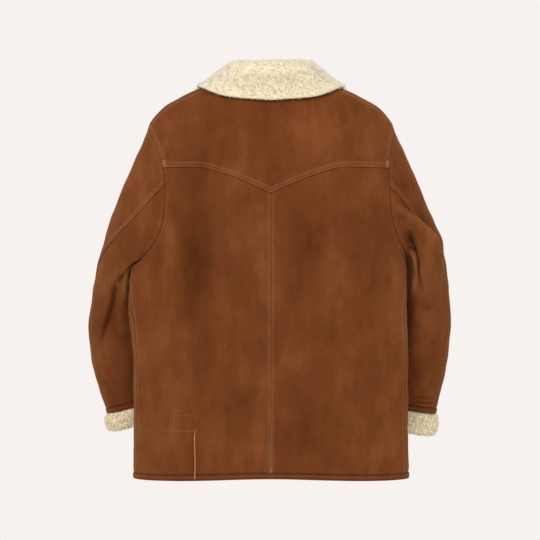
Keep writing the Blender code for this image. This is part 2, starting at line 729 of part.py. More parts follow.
def sleeve_normal(clock, along, arm):
    """The outward direction of a sleeve's wall, evened out over the cells round it.

    At its end the wall lies in the cuff's plane. At the armhole it turns no further than the body's
    own wall, so that the two don't run into each other over the shoulder.
    """
    clock, along = np.broadcast_arrays(clock, along)
    slope, down_it = sleeve_slopes(clock, along, arm)
    normal = slope * WALL_OWN_WEIGHT
    for turned, slid in ((WALL_EASE_CLOCK, 0.0), (-WALL_EASE_CLOCK, 0.0), (0.0, WALL_EASE_ALONG)):
        normal = normal + sleeve_slopes(clock + turned, along + slid, arm)[0]
    normal = unit(normal)
    body = torso_normal(*armhole(clock, arm))
    falls = np.sum(down_it * body, axis=-1) < 0
    share = np.maximum(np.sum(body * normal, axis=-1, keepdims=True), WALL_LEAST_SHARE)
    normal = np.where(((along == 0.0) & falls)[..., None], body / share, normal)
    spokes = unit(sleeve_section(clock, along, arm) - sleeve_centre(along, arm))
    return np.where(along[..., None] < 1.0, normal, spokes)


def armhole_clocks(arm):
    """The clock angles at which the body's pieces meet the sleeve, from the underarm round."""
    yoke_end = yoke_clock(arm)
    back = np.linspace(UNDERARM_CLOCK, arm.armhole.elbow, LOWER_ARMHOLE_CELLS + 1)
    yoke = np.linspace(yoke_end, SHOULDER_CLOCK, YOKE_ARMHOLE_CELLS + 1)
    front = np.linspace(UNDERARM_CLOCK, 360.0 + SHOULDER_CLOCK, FRONT_ARMHOLE_CELLS + 1)
    return back, yoke, front


def sleeve_clocks(arm):
    """(clock angles row by row from the elbow seam over the top and back under, the upper's columns)."""
    back, yoke, front = armhole_clocks(arm)
    start, stop = arm.armhole.elbow, front[INNER_SEAM_CELL] - 360.0
    upper = np.concatenate([[start], yoke, front[INNER_SEAM_CELL:-1][::-1] - 360.0])
    under = np.concatenate([front[1 : INNER_SEAM_CELL + 1][::-1], back]) - 360.0
    along = np.linspace(0.0, 1.0, SLEEVE_CELLS + 1)
    elbow, inner = column(arm.seams, "elbow", along), column(arm.seams, "inner", along)
    elbow = (elbow - elbow[0] + start)[:, None]
    inner = (inner - inner[0] + stop)[:, None]
    upper_share = (upper - start) / (stop - start)
    under_share = (under - stop) / (start - 360.0 - stop)
    over = elbow * (1 - upper_share) + inner * upper_share
    below = inner * (1 - under_share) + (elbow - 360.0) * under_share
    return np.concatenate([over, below[:, 1:]], axis=1), len(upper)


def fair(grid, share):
    """The ring of points drawn towards the mean of its neighbours, as far as share says in each row."""
    ring = grid[:, :-1]
    for _ in range(FAIRING_ROUNDS):
        around = np.roll(ring, 1, axis=1) + np.roll(ring, -1, axis=1)
        aim = (around[1:-1] + ring[2:] + ring[:-2]) / 4
        ring = ring.copy()
        ring[1:-1] += (aim - ring[1:-1]) * share[1:-1, None, None]
    return np.concatenate([ring, ring[:, :1]], axis=1)


def make_sleeve(arm, label):
    """The upper and the under sleeve of one arm."""
    clock, upper = sleeve_clocks(arm)
    along = np.linspace(0.0, 1.0, SLEEVE_CELLS + 1)[:, None]
    easing = FAIRING_SHARE * (1 - smoothstep(*FAIRING_END, along[:, 0]))
    outer = clear_of_body(fair(sleeve_surface(clock, along, arm), easing), clock, along)
    inner = fair(outer - sleeve_normal(clock, along, arm) * BODY_WALL, easing)
    flip = np.array([arm.side, 1.0, 1.0])
    for name, columns in (("upper", slice(0, upper)), ("under", slice(upper - 1, None))):
        outside = drawn_in(outer[:, columns])
        inside = inner[:, columns] + outside - outer[:, columns]
        shell(f"sleeve_{name}_{label}", outside * flip, inside * flip, SUEDE)


def cuff_ring(name, arm, start, height, wall, finish, rounds):
    """A ring at the sleeve's end, with one row of points for each of rounds."""
    clock = np.linspace(0.0, 360.0, CUFF_CELLS + 1)[:-1]
    last = np.ones_like(clock)
    end = sleeve_surface(clock, last, arm)
    spokes = unit(sleeve_section(clock, last, arm) - sleeve_centre(last, arm))
    outer, inner = sleeve_edges(1.0, arm)
    down = unit(np.array([inner[2] - outer[2], 0.0, outer[0] - inner[0]]) * -1)
    down = unit(down + np.array([0.0, CUFF_LEAN, 0.0]))
    outer = [end + down * (start + height * row.share) + spokes * row.swell for row in rounds]
    inner = [level - spokes * wall * row.wall for level, row in zip(outer, rounds)]
    flip = np.array([arm.side, 1.0, 1.0])
    return shell(name, np.array(outer) * flip, np.array(inner) * flip, finish, ring=True)


def make_cuffs(arm, label):
    """The suede band round the sleeve's end, and the turned fleece below it."""
    cuff_ring("cuff_band_" + label, arm, SEAM_GAP, CUFF_BAND_HEIGHT, BODY_WALL, SUEDE_BAND, BAND_ROUNDS)
    below_band = 2 * SEAM_GAP + CUFF_BAND_HEIGHT
    cuff_ring(
        "cuff_fleece_" + label, arm, below_band, arm.fleece_height, CUFF_WALL, FLEECE, FLEECE_ROUNDS
    )


def hem_band(name, stations, sink=0.0):
    """The turned band below one panel's hem."""
    turn, z = stations[:, 0], stations[:, 1]
    normal = torso_normal(turn, z)
    outer = []
    for share, swell in HEM_ROUNDS:
        level = torso(turn, z - SEAM_GAP - HEM_BAND_HEIGHT * share)
        outer.append(level + normal * (swell - np.broadcast_to(sink, turn.shape))[:, None])
    outer = np.array(outer)
    along = unit(np.gradient(outer, axis=1))
    outer[:, 0] += along[:, 0] * SEAM_GAP / 2
    outer[:, -1] -= along[:, -1] * SEAM_GAP / 2
    return shell(name, outer, outer - normal * BODY_WALL, SUEDE_BAND)


def make_hem():
    """The hem band, in one length for the back and one for each front."""
    back = hem_stations(-SIDE_SEAM_TURN, SIDE_SEAM_TURN, 2 * HALF_BACK_CELLS)
    hem_band("hem_band_back", back)
    turns = np.concatenate([wide_turns(SIDE_SEAM_TURN), placket_turns()])
    front = chart(turns, hem_height(turns))
    hem_band("hem_band_left", front)
    hem_band("hem_band_right", mirrored(front), lap_sink(turns, BODY_WALL + LAP_CLEARANCE))


def collar_middle(turn):
    """The collar's middle surface across one section: stand, fold, then the fall over the yoke."""
    size = abs(turn)
    sign = math.copysign(1.0, turn)
    neck_z = float(column(NECKLINE, "z", size))
    base = neck_edge(turn)
    normal = torso_normal(turn, neck_z)
    ahead = torso(turn + sign, float(column(NECKLINE, "z", size + 1.0)))
    behind = torso(turn - sign, float(column(NECKLINE, "z", abs(size - 1.0))))
    away = unit(np.cross(ahead - behind, normal))
    away = away if away[2] > 0 else -away
    flat = float(smoothstep(*COLLAR_FLAT_TURNS, size))
    rise_way = unit(np.array([0.0, 0.0, 1.0]) * (1 - flat) + away * flat)
    outward = unit(normal - rise_way * np.dot(normal, rise_way))
    rise, spread, edge_turn, edge_z = (float(column(COLLAR, name, size)) for name in Collar._fields[1:])
    rise *= 1 - COLLAR_TILT * math.sin(math.radians(turn))
    half_way = base + rise_way * rise * COLLAR_HALF_RISE
    route = (
        base - outward * COLLAR_STAND_SINK + rise_way * COLLAR_STAND_RISE,
        half_way - outward * COLLAR_WAIST_SINK,
        base + rise_way * rise + outward * spread,
        half_way + outward * (2 * spread + COLLAR_SHOULDER_SPREAD),
        torso((turn + edge_turn * sign) / 2, (neck_z + edge_z) / 2),
        torso(edge_turn * sign, edge_z),
    )
    return through(np.array(route), COLLAR_PROFILE_CELLS)


def through(points, cells):
    """Evenly spaced points on a smooth curve through these."""
    steps = np.linalg.norm(np.diff(points, axis=0), axis=1)
    knots = np.concatenate([[0.0], np.cumsum(steps)])
    fine = np.linspace(0.0, knots[-1], COLLAR_SAMPLES)
    curve = np.stack([catmull(knots, points[:, axis], fine) for axis in range(3)], axis=-1)
    run = np.concatenate([[0.0], np.cumsum(np.linalg.norm(np.diff(curve, axis=0), axis=1))])
    even = np.linspace(0.0, run[-1], cells + 1)
    return np.stack([np.interp(even, run, curve[:, axis]) for axis in range(3)], axis=-1)


def catmull(knots, values, at):
    """A cubic through the values with the mean slope at each knot."""
    slope = np.gradient(values, knots)
    cell = np.clip(np.searchsorted(knots, at, side="right") - 1, 0, len(knots) - 2)
    step = knots[cell + 1] - knots[cell]
    t = (at - knots[cell]) / step
    return (
        values[cell] * (2 * t**3 - 3 * t**2 + 1)
        + slope[cell] * step * (t**3 - 2 * t**2 + t)
        + values[cell + 1] * (3 * t**2 - 2 * t**3)
        + slope[cell + 1] * step * (t**3 - t**2)
    )


def make_collar():
    """The fleece collar, from one front to the other round the back of the neck."""
    turns = even_neck_turns(-COLLAR[-1].turn, COLLAR[-1].turn, COLLAR_CELLS)
    middle = np.array([collar_middle(turn) for turn in turns])
    half = COLLAR_WALL / 2
    fall = smoothstep(*COLLAR_FALL_SHARES, np.linspace(0.0, 1.0, COLLAR_PROFILE_CELLS + 1))
    least = (half + COLLAR_CLEARANCE) * fall - (1 - fall) * COLLAR_STAND_FREEDOM
    middle = lifted_off(middle, least, COLLAR_SOFTNESS)
    normal = unit(np.cross(np.gradient(middle, axis=0), np.gradient(middle, axis=1)))
    across = np.ones(COLLAR_PROFILE_CELLS + 1)
    across[0], across[-1] = COLLAR_STAND_SHARE, COLLAR_EDGE_SHARE
    ends = np.ones(COLLAR_CELLS + 1)
    ends[0] = ends[-1] = COLLAR_EDGE_SHARE
    thick = half * across[None, :, None] * ends[:, None, None]
    shell("collar", middle + normal * thick, middle - normal * thick, FLEECE)


def make_buttons():
    """Four tapered buttons down the lapped edge, each on the centre front."""
    for number, height in enumerate(BUTTON_HEIGHTS, start=1):
        normal = torso_normal(180.0, height)
        seat = torso(180.0, height) + normal * (SEAM_GAP + BUTTON_LIFT)
        build = bmesh.new()
        bmesh.ops.create_cone(
            build,
            cap_ends=True,
            segments=BUTTON_SIDES,
            radius1=BUTTON_RADIUS,
            radius2=BUTTON_RADIUS * BUTTON_TAPER,
            depth=BUTTON_THICKNESS,
        )
        mesh = bpy.data.meshes.new("button")
        build.to_mesh(mesh)
        build.free()
        part = add_part(f"button_{number}", mesh, HORN)
        middle = seat + normal * BUTTON_THICKNESS / 2
        part.location = middle.tolist()
        part.rotation_euler = (math.pi / 2 - math.asin(float(normal[2])), 0.0, 0.0)


def make_mend():
    """The sewn welt that closes a slit up from the hem on the left back."""
    share = np.linspace(0.0, 1.0, MEND_CELLS + 1)
    heights = MEND_TOP + (HEM_HEIGHT + MEND_END_RISE - MEND_TOP) * share
    turns = np.full(MEND_CELLS + 1, MEND_FIRST_TURN)
    for _ in range(MEND_FITTING_ROUNDS):
        turns = turns + (MEND_X - torso_plain(turns, heights)[:, 0]) * MEND_DEGREES_PER_METRE
    lift = MEND_RADIUS + SEAM_GAP + MEND_LIFT
    points = torso(turns, heights) + torso_normal(turns, heights) * lift
    curve = bpy.data.curves.new("mend_welt", "CURVE")
    curve.dimensions = "3D"
    curve.bevel_depth = MEND_RADIUS
    curve.bevel_resolution = MEND_ROUNDNESS
    curve.use_fill_caps = True
    spline = curve.splines.new("POLY")
    spline.points.add(MEND_CELLS)
    for point, place in zip(spline.points, points):
        point.co = (*place.tolist(), 1.0)
    add_part("mend_welt", curve, THREAD)


def clear_scene():
    """Empties the start-up scene."""
    for item in list(bpy.data.objects):
        bpy.data.objects.remove(item)


def main():
    """Builds the coat's pieces under one root."""
    clear_scene()
    coat = bpy.data.collections.new("shearling_coat")
    bpy.context.scene.collection.children.link(coat)
    root = bpy.data.objects.new("coat_root", None)
    coat.objects.link(root)
    make_back()
    for arm, label in ((LEFT_ARM, "left"), (RIGHT_ARM, "right")):
        make_front(arm)
        make_sleeve(arm, label)
        make_cuffs(arm, label)
    make_hem()
    make_collar()
    make_buttons()
    make_mend()


main()
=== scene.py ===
"""The visible surfaces of a shearling coat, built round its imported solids.

Metres, +Z up. The wearer faces -Y and the wearer's left is +X. The skin side is outside and the
clipped wool inside, both as one wall. A point of the body is named by its turn, in degrees from the
centre back towards the wearer's left, and its height z. Every panel is a closed wall whose skin
rises and dips beside its seams, with the stitches as small pieces of thread on it.
"""

import logging
import math
from dataclasses import dataclass, field, fields
from enum import Enum
from typing import Callable, Iterable, Optional, Sequence

import bmesh
import bpy
import numpy as np
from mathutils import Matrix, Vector
from mathutils.bvhtree import BVHTree
from mathutils.kdtree import KDTree


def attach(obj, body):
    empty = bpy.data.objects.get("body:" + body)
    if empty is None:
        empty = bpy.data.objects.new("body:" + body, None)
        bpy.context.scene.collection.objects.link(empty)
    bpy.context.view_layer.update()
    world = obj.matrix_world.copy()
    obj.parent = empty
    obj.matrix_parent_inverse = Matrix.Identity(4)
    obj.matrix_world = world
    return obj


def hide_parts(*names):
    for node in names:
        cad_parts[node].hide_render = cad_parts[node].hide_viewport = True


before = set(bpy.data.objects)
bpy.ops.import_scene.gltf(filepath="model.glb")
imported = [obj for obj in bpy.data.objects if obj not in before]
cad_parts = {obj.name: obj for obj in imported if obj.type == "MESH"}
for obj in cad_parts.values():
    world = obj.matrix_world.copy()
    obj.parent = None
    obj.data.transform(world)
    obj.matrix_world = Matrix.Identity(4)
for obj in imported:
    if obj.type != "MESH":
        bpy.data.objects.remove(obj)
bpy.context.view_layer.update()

LOG = logging.getLogger("shearling_coat")
Array = np.ndarray

BODY_WALL = 0.007
SEAM_GAP = 0.0003
LAP_CLEARANCE = 0.0006
# Faces that meet at more than this, in radians, keep a sharp edge on cloth.
CLOTH_EDGE_ANGLE = math.radians(62.0)
# Distances from a seam at which a panel has a line of points, so that its relief is crisp.
SEAM_LINES = (0.0009, 0.0020, 0.0032, 0.0046, 0.0062, 0.0078, 0.0092, 0.0106, 0.0124, 0.0150)


# ---------------------------------------------------------------------------------------------
# Curves and vectors


def cubic(start: Array, leaving: Array, stop: Array, arriving: Array, t: Array) -> Array:
    """Reads a cubic between two values.

    Args:
        start: The value at t = 0.
        leaving: Its slope there, for the whole step.
        stop: The value at t = 1.
        arriving: Its slope there, for the whole step.
        t: Where to read.

    Returns:
        The values at t.
    """
    return (
        start * (2 * t**3 - 3 * t**2 + 1)
        + leaving * (t**3 - 2 * t**2 + t)
        + stop * (3 * t**2 - 2 * t**3)
        + arriving * (t**3 - t**2)
    )


def smooth_through(xs: Sequence[float], ys: Sequence[float], at: Array) -> Array:
    """Reads a smooth curve through (xs, ys) that doesn't overshoot between its points.

    Args:
        xs: Rising places of the known points.
        ys: Their values.
        at: Places to read.

    Returns:
        The values there.
    """
    xs, ys, at = np.asarray(xs, float), np.asarray(ys, float), np.asarray(at, float)
    step = np.diff(xs)
    slope = np.diff(ys) / step
    tangent = np.concatenate([[slope[0]], np.zeros(len(xs) - 2), [slope[-1]]])
    same_way = slope[:-1] * slope[1:] > 0
    before, after = 2 * step[1:] + step[:-1], step[1:] + 2 * step[:-1]
    with np.errstate(divide="ignore", invalid="ignore"):
        mean = (before + after) / (before / slope[:-1] + after / slope[1:])
    tangent[1:-1] = np.where(same_way, mean, 0.0)
    cell = np.clip(np.searchsorted(xs, at, side="right") - 1, 0, len(xs) - 2)
    t = np.clip((at - xs[cell]) / step[cell], 0.0, 1.0)
    return cubic(ys[cell], tangent[cell] * step[cell], ys[cell + 1], tangent[cell + 1] * step[cell], t)


def smoothstep(low: float, high: float, value: Array) -> Array:
    """A soft step from 0 at low to 1 at high."""
    t = np.clip((np.asarray(value, float) - low) / (high - low), 0.0, 1.0)
    return t * t * (3 - 2 * t)


def bell(offset: Array, half: float) -> Array:
    """A smooth bump of height 1, by the distance from its middle and its half width."""
    return np.exp(-((offset / half) ** 2))


def unit(vectors: Array) -> Array:
    """The vectors at length one."""
    return vectors / np.maximum(np.linalg.norm(vectors, axis=-1, keepdims=True), 1e-12)


def resampled(grid: Array, axis: int, places: Array, breaks: Sequence[int] = ()) -> Array:
    """Reads a grid at fractional places along one axis, on cubics that meet at sharp breaks.

    Args:
        grid: Values, of any shape.
        axis: The axis to read along.
        places: Rising places, counted in the grid's cells.
        breaks: Cells at which the curve may turn a corner.

    Returns:
        The grid with that axis read at the places.
    """
    values = np.moveaxis(grid, axis, 0)
    knots = sorted({0, len(values) - 1, *breaks})
    read = np.empty((len(places),) + values.shape[1:])
    for start, stop in zip(knots[:-1], knots[1:]):
        part = values[start : stop + 1]
        slope = np.gradient(part, axis=0)
        mine = (places >= start) & (places <= stop)
        at = places[mine] - start
        cell = np.clip(at.astype(int), 0, len(part) - 2)
        t = (at - cell).reshape((-1,) + (1,) * (part.ndim - 1))
        read[mine] = cubic(part[cell], slope[cell], part[cell + 1], slope[cell + 1], t)
    return np.moveaxis(read, 0, axis)


def fine_places(steps: Sequence[int], first: float, last: float) -> Array:
    """Places along a row of cells, closer together beside the seams at its two ends.

    Args:
        steps: How many steps each cell is divided into.
        first: Length of the first cell in metres.
        last: Length of the last cell in metres.

    Returns:
        Rising places, counted in cells.
    """
    cells = len(steps)
    even = np.concatenate([[0.0]] + [c + np.arange(1, n + 1) / n for c, n in enumerate(steps)])
    lines = np.array(SEAM_LINES)
    reach = lines[-1] * 1.15
    kept = even[(even * first > reach) & ((cells - even) * last > reach)]
    whole = np.arange(cells + 1.0)
    start, stop = lines / first, cells - lines[::-1] / last
    return np.unique(np.round(np.concatenate([[0.0], start, kept, whole, stop, [float(cells)]]), 9))


def run_along(points: Array) -> Array:
    """Each point's distance along the line of points, from 0 at the first."""
    return np.concatenate([[0.0], np.cumsum(np.linalg.norm(np.diff(points, axis=0), axis=1))])


def even_run(points: Array, pitch: float) -> Array:
    """Fractional indices of evenly spaced places along a line of points.

    Args:
        points: The line.
        pitch: The distance aimed at between two places.

    Returns:
        Indices into the line, in the middle of each equal stretch.
    """
    run = run_along(points)
    count = max(1, round(run[-1] / pitch))
    return np.interp((np.arange(count) + 0.5) / count * run[-1], run, np.arange(len(points)))


def read_line(values: Array, places: Array, known: Optional[Array] = None) -> Array:
    """Straight readings of a line of points at some places along it.

    Args:
        values: The line's points.
        places: Where to read.
        known: The places of the points, which are their numbers where none are given.

    Returns:
        The points at the places.
    """
    known = np.arange(len(values)) if known is None else known
    return np.stack([np.interp(places, known, values[:, axis]) for axis in range(3)], axis=-1)


def superellipse(sine: Array, cosine: Array, power: Array) -> tuple:
    """The point of a superellipse in the direction of this sine and cosine."""
    scale = (np.abs(sine) ** power + np.abs(cosine) ** power) ** (-1 / power)
    return sine * scale, cosine * scale


def spokes_round(first: Array, second: Array, sides: int) -> Array:
    """Evenly turned directions in the plane of each pair of crossed ones.

    Args:
        first: One direction a row.
        second: The direction at right angles to each.
        sides: How many directions to make for each.

    Returns:
        One row of directions for each pair.
    """
    angle = np.arange(sides) * 2 * math.pi / sides
    return first[:, None] * np.cos(angle)[None, :, None] + second[:, None] * np.sin(angle)[None, :, None]


class Ripple:
    """Soft seamless unevenness in space, as a sum of waves in seeded directions."""

    WAVES = 14
    SIZES = (0.7, 1.6)
    STRENGTH = 0.6

    def __init__(self, seed: int, size: float) -> None:
        """Draws the waves.

        Args:
            seed: Seed of the directions and phases.
            size: Length of the unevenness in metres.
        """
        draw = np.random.default_rng(seed)
        ways = unit(draw.normal(size=(self.WAVES, 3)))
        lengths = size * draw.uniform(*self.SIZES, self.WAVES)
        self.waves = ways * (2 * math.pi / lengths)[:, None]
        self.phases = draw.uniform(0.0, 2 * math.pi, self.WAVES)

    def at(self, points: Array) -> Array:
        """The unevenness at each point, mostly between -1 and 1."""
        angle = points @ self.waves.T + self.phases
        return np.cos(angle).sum(axis=-1) * math.sqrt(2.0 / self.WAVES) * self.STRENGTH


@dataclass(frozen=True)
class Table:
    """Rows of named sizes, read as smooth curves against their first column."""

    rows: tuple

    def read(self, name: str, at: Array) -> Array:
        """Reads one column.

        Args:
            name: The column's name.
            at: Values of the first column.

        Returns:
            The column's values there.
        """
        key = fields(self.rows[0])[0].name
        places = [getattr(row, key) for row in self.rows]
        return smooth_through(places, [getattr(row, name) for row in self.rows], at)


# ---------------------------------------------------------------------------------------------
# Pieces, meshes and finishes


def mesh_of(name: str, points: Array, loops: Sequence[Array]) -> bpy.types.Mesh:
    """A mesh from points and arrays of faces.

    Args:
        name: The mesh's name.
        points: One row a point.
        loops: Arrays of faces, one row a face, each array with its own number of corners.

    Returns:
        The mesh, shaded smooth.
    """
    mesh = bpy.data.meshes.new(name)
    mesh.vertices.add(len(points))
    mesh.vertices.foreach_set("co", np.asarray(points, np.float32).ravel())
    sizes = np.concatenate([np.full(len(faces), faces.shape[1]) for faces in loops])
    corners = np.concatenate([faces.ravel() for faces in loops])
    mesh.loops.add(len(corners))
    mesh.loops.foreach_set("vertex_index", corners.astype(np.int32))
    mesh.polygons.add(len(sizes))
    starts = np.concatenate([[0], np.cumsum(sizes)[:-1]])
    mesh.polygons.foreach_set("loop_start", starts.astype(np.int32))
    mesh.update(calc_edges=True)
    mesh.shade_smooth()
    return mesh


def mesh_from(build: bmesh.types.BMesh, name: str) -> bpy.types.Mesh:
    """A mesh from a worked-on one, which is let go.

    Args:
        build: The worked-on mesh.
        name: The new mesh's name.

    Returns:
        The mesh.
    """
    mesh = bpy.data.meshes.new(name)
    build.to_mesh(mesh)
    build.free()
    return mesh


def grid_faces(rows: int, columns: int, closed: bool = False) -> tuple:
    """The faces of a grid of points.

    Args:
        rows: Its number of rows.
        columns: Its number of columns.
        closed: Whether the last column joins the first.

    Returns:
        The grid of the points' numbers, with the first column again at the end where it is closed,
        and the faces, one row each.
    """
    index = np.arange(rows * columns).reshape(rows, columns)
    if closed:
        index = np.concatenate([index, index[:, :1]], axis=1)
    quads = np.stack([index[:-1, :-1], index[:-1, 1:], index[1:, 1:], index[1:, :-1]], axis=-1)
    return index, quads.reshape(-1, 4)


def repeated(faces: Sequence[tuple], count: int, points: int) -> Array:
    """The faces of one small body, repeated for a row of equal bodies of so many points."""
    shift = (np.arange(count) * points)[:, None, None]
    return (np.array(faces)[None] + shift).reshape(-1, len(faces[0]))


def vertex_values(mesh: bpy.types.Mesh, name: str) -> Array:
    """Reads a mesh's vertices.

    Args:
        mesh: The mesh.
        name: "co" for their places or "normal" for their outward directions.

    Returns:
        One row for each vertex.
    """
    values = np.empty(len(mesh.vertices) * 3, np.float32)
    mesh.vertices.foreach_get(name, values)
    return values.reshape(-1, 3)


def set_attribute(mesh: bpy.types.Mesh, name: str, values: Array) -> None:
    """Writes one number a point into a named attribute of the mesh."""
    made = mesh.attributes.new(name, "FLOAT", "POINT")
    made.data.foreach_set("value", np.asarray(values, np.float32).ravel())


def add_piece(
    name: str, mesh: bpy.types.Mesh, slot: str, *materials: bpy.types.Material
) -> bpy.types.Object:
    """Puts a mesh into the scene as a piece that rides on the coat's one body.

    Args:
        name: The piece's name.
        mesh: Its mesh.
        slot: The name of a material slot; not used.
        *materials: Its materials, in the order of the mesh's material numbers.

    Returns:
        The new object.
    """
    piece = bpy.data.objects.new(name, mesh)
    for material in materials:
        mesh.materials.append(material)
    bpy.context.scene.collection.objects.link(piece)
    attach(piece, "root")
    mesh.calc_loop_triangles()
    LOG.info("%s: %d triangles", name, len(mesh.loop_triangles))
    return piece


class Nodes:
    """A material's node tree, with short ways to add and join its nodes."""

    def __init__(self, name: str) -> None:
        """Starts a material with its Principled shader.

        Args:
            name: The material's name.
        """
        self.material = bpy.data.materials.new(name)
        self.material.use_nodes = True
        self.tree = self.material.node_tree
        self.shader = self.tree.nodes["Principled BSDF"]

    def add(self, kind: str, **settings: object) -> bpy.types.Node:
        """Adds a node.

        Args:
            kind: The node's type.
            **settings: Values of its attributes and sockets, with _ for each space of their names.

        Returns:
            The node.
        """
        node = self.tree.nodes.new(kind)
        for name, value in settings.items():
            if hasattr(node, name):
                setattr(node, name, value)
            else:
                node.inputs[name.replace("_", " ")].default_value = value
        return node

    def join(self, source: bpy.types.NodeSocket, target: bpy.types.NodeSocket) -> None:
        """Links two sockets."""
        self.tree.links.new(source, target)

    def noise(self, size: float, detail: float, stretch: tuple = (1.0, 1.0, 1.0)) -> bpy.types.NodeSocket:
        """Noise in the coat's own space.

        Args:
            size: Size of its patches in metres.
            detail: How many finer layers it has.
            stretch: How long the patches are along each axis.

        Returns:
            The socket with its value, from 0 to 1.
        """
        place = self.add("ShaderNodeTexCoord").outputs["Object"]
        mapping = self.add("ShaderNodeMapping")
        mapping.inputs["Scale"].default_value = [1.0 / (size * s) for s in stretch]
        self.join(place, mapping.inputs["Vector"])
        texture = self.add("ShaderNodeTexNoise", Scale=1.0, Detail=detail, Roughness=0.6)
        self.join(mapping.outputs["Vector"], texture.inputs["Vector"])
        return texture.outputs["Fac"]

    def attribute(self, name: str) -> bpy.types.NodeSocket:
        """The value of a mesh's named attribute."""
        return self.add("ShaderNodeAttribute", attribute_name=name).outputs["Fac"]

    def math(self, how: str, first: object, second: object, third: object = 0.0) -> bpy.types.NodeSocket:
        """Arithmetic on sockets and numbers.

        Args:
            how: The Math node's operation.
            first: A socket or a number.
            second: A socket or a number.
            third: A socket or a number, where the operation has one.

        Returns:
            The socket with the result.
        """
        node = self.add("ShaderNodeMath", operation=how)
        for slot, value in enumerate((first, second, third)):
            if isinstance(value, bpy.types.NodeSocket):
                self.join(value, node.inputs[slot])
            else:
                node.inputs[slot].default_value = value
        return node.outputs[0]

    def weighted(self, start: float, parts: Sequence[tuple]) -> bpy.types.NodeSocket:
        """A start plus each part's share times how far its value is from the middle.

        Args:
            start: The value where all the parts are at their middle.
            parts: Pairs of a socket and its share, or with the part's middle as a third.

        Returns:
            The socket with the sum.
        """
        total: object = start
        for value, share, *middle in parts:
            shift = -share * (middle[0] if middle else 0.5)
            total = self.math("ADD", self.math("MULTIPLY_ADD", value, share, shift), total)
        return total

    def ramp(self, value: bpy.types.NodeSocket, stops: Sequence[tuple]) -> bpy.types.NodeSocket:
        """Colours read from a ramp.

        Args:
            value: Where to read.
            stops: Pairs of a place and a colour.

        Returns:
            The colour socket.
        """
        node = self.add("ShaderNodeValToRGB")
        elements = node.color_ramp.elements
        while len(elements) < len(stops):
            elements.new(0.5)
        for element, (place, colour) in zip(elements, stops):
            element.position = place
            element.color = (*colour, 1.0)
        self.join(value, node.inputs["Fac"])
        return node.outputs["Color"]

    def bump(self, height: bpy.types.NodeSocket, depth: float, over: Optional[object] = None) -> object:
        """Fine relief.

        Args:
            height: The socket with its height, from 0 to 1.
            depth: Its depth in metres.
            over: The socket of an earlier relief that it lies on, if any.

        Returns:
            The socket with the bent normal.
        """
        node = self.add("ShaderNodeBump", Strength=1.0, Distance=depth)
        self.join(height, node.inputs["Height"])
        if over is not None:
            self.join(over, node.inputs["Normal"])
        return node.outputs["Normal"]

    def finish(
        self, colour: bpy.types.NodeSocket, relief: Optional[bpy.types.NodeSocket] = None, **sockets: object
    ) -> bpy.types.Material:
        """Sets up the shader.

        Args:
            colour: The socket of its base colour.
            relief: The socket of its normal, if it has fine relief.
            **sockets: Values of its own sockets, with _ for each space of their names.

        Returns:
            The finished material.
        """
        self.join(colour, self.shader.inputs["Base Color"])
        if relief is not None:
            self.join(relief, self.shader.inputs["Normal"])
        for name, value in sockets.items():
            self.shader.inputs[name.replace("_", " ")].default_value = value
        return self.material


Colour = tuple


@dataclass(frozen=True)
class SuedeFinish:
    """The brushed skin side: matt, mottled where the nap lies this way and that."""

    name: str
    dark: Colour
    middle: Colour
    light: Colour
    roughness: float = 0.92
    sheen: float = 0.15
    sheen_tint: Colour = (1.0, 0.55, 0.28)
    hue_drift: float = 0.018
    drift_size: float = 0.038
    blotch_size: float = 0.085
    brush_size: float = 0.020
    speck_size: float = 0.0042
    nap_size: float = 0.0016
    nap_depth: float = 0.0005
    grain_size: float = 0.011
    grain_depth: float = 0.0014

    def build(self) -> bpy.types.Material:
        """Makes the material.

        Returns:
            The material.
        """
        nodes = Nodes(self.name)
        blotches = nodes.noise(self.blotch_size, 4.0, (1.0, 1.0, 1.5))
        brushed = nodes.noise(self.brush_size, 5.0, (1.0, 1.0, 3.2))
        specks = nodes.noise(self.speck_size, 3.0)
        # The tone attribute brings in painted shade and painted light, with wear beside the seams.
        tone = nodes.attribute("tone")
        parts = ((blotches, 0.85), (brushed, 0.42), (specks, 0.16), (tone, 1.0, 0.0))
        value = nodes.weighted(0.5, parts)
        stops = ((0.0, self.dark), (0.5, self.middle), (1.0, self.light))
        drift = nodes.add("ShaderNodeHueSaturation")
        hue = nodes.weighted(0.5, ((nodes.noise(self.drift_size, 3.0), self.hue_drift),))
        nodes.join(hue, drift.inputs["Hue"])
        nodes.join(nodes.ramp(value, stops), drift.inputs["Color"])
        nap = nodes.bump(nodes.noise(self.nap_size, 4.0, (1.0, 1.0, 1.8)), self.nap_depth)
        grain = nodes.bump(nodes.noise(self.grain_size, 3.0), self.grain_depth, nap)
        return nodes.finish(
            drift.outputs["Color"], grain, Roughness=self.roughness, Specular_IOR_Level=0.0,
            Sheen_Weight=self.sheen, Sheen_Roughness=0.5, Sheen_Tint=(*self.sheen_tint, 1.0),
        )


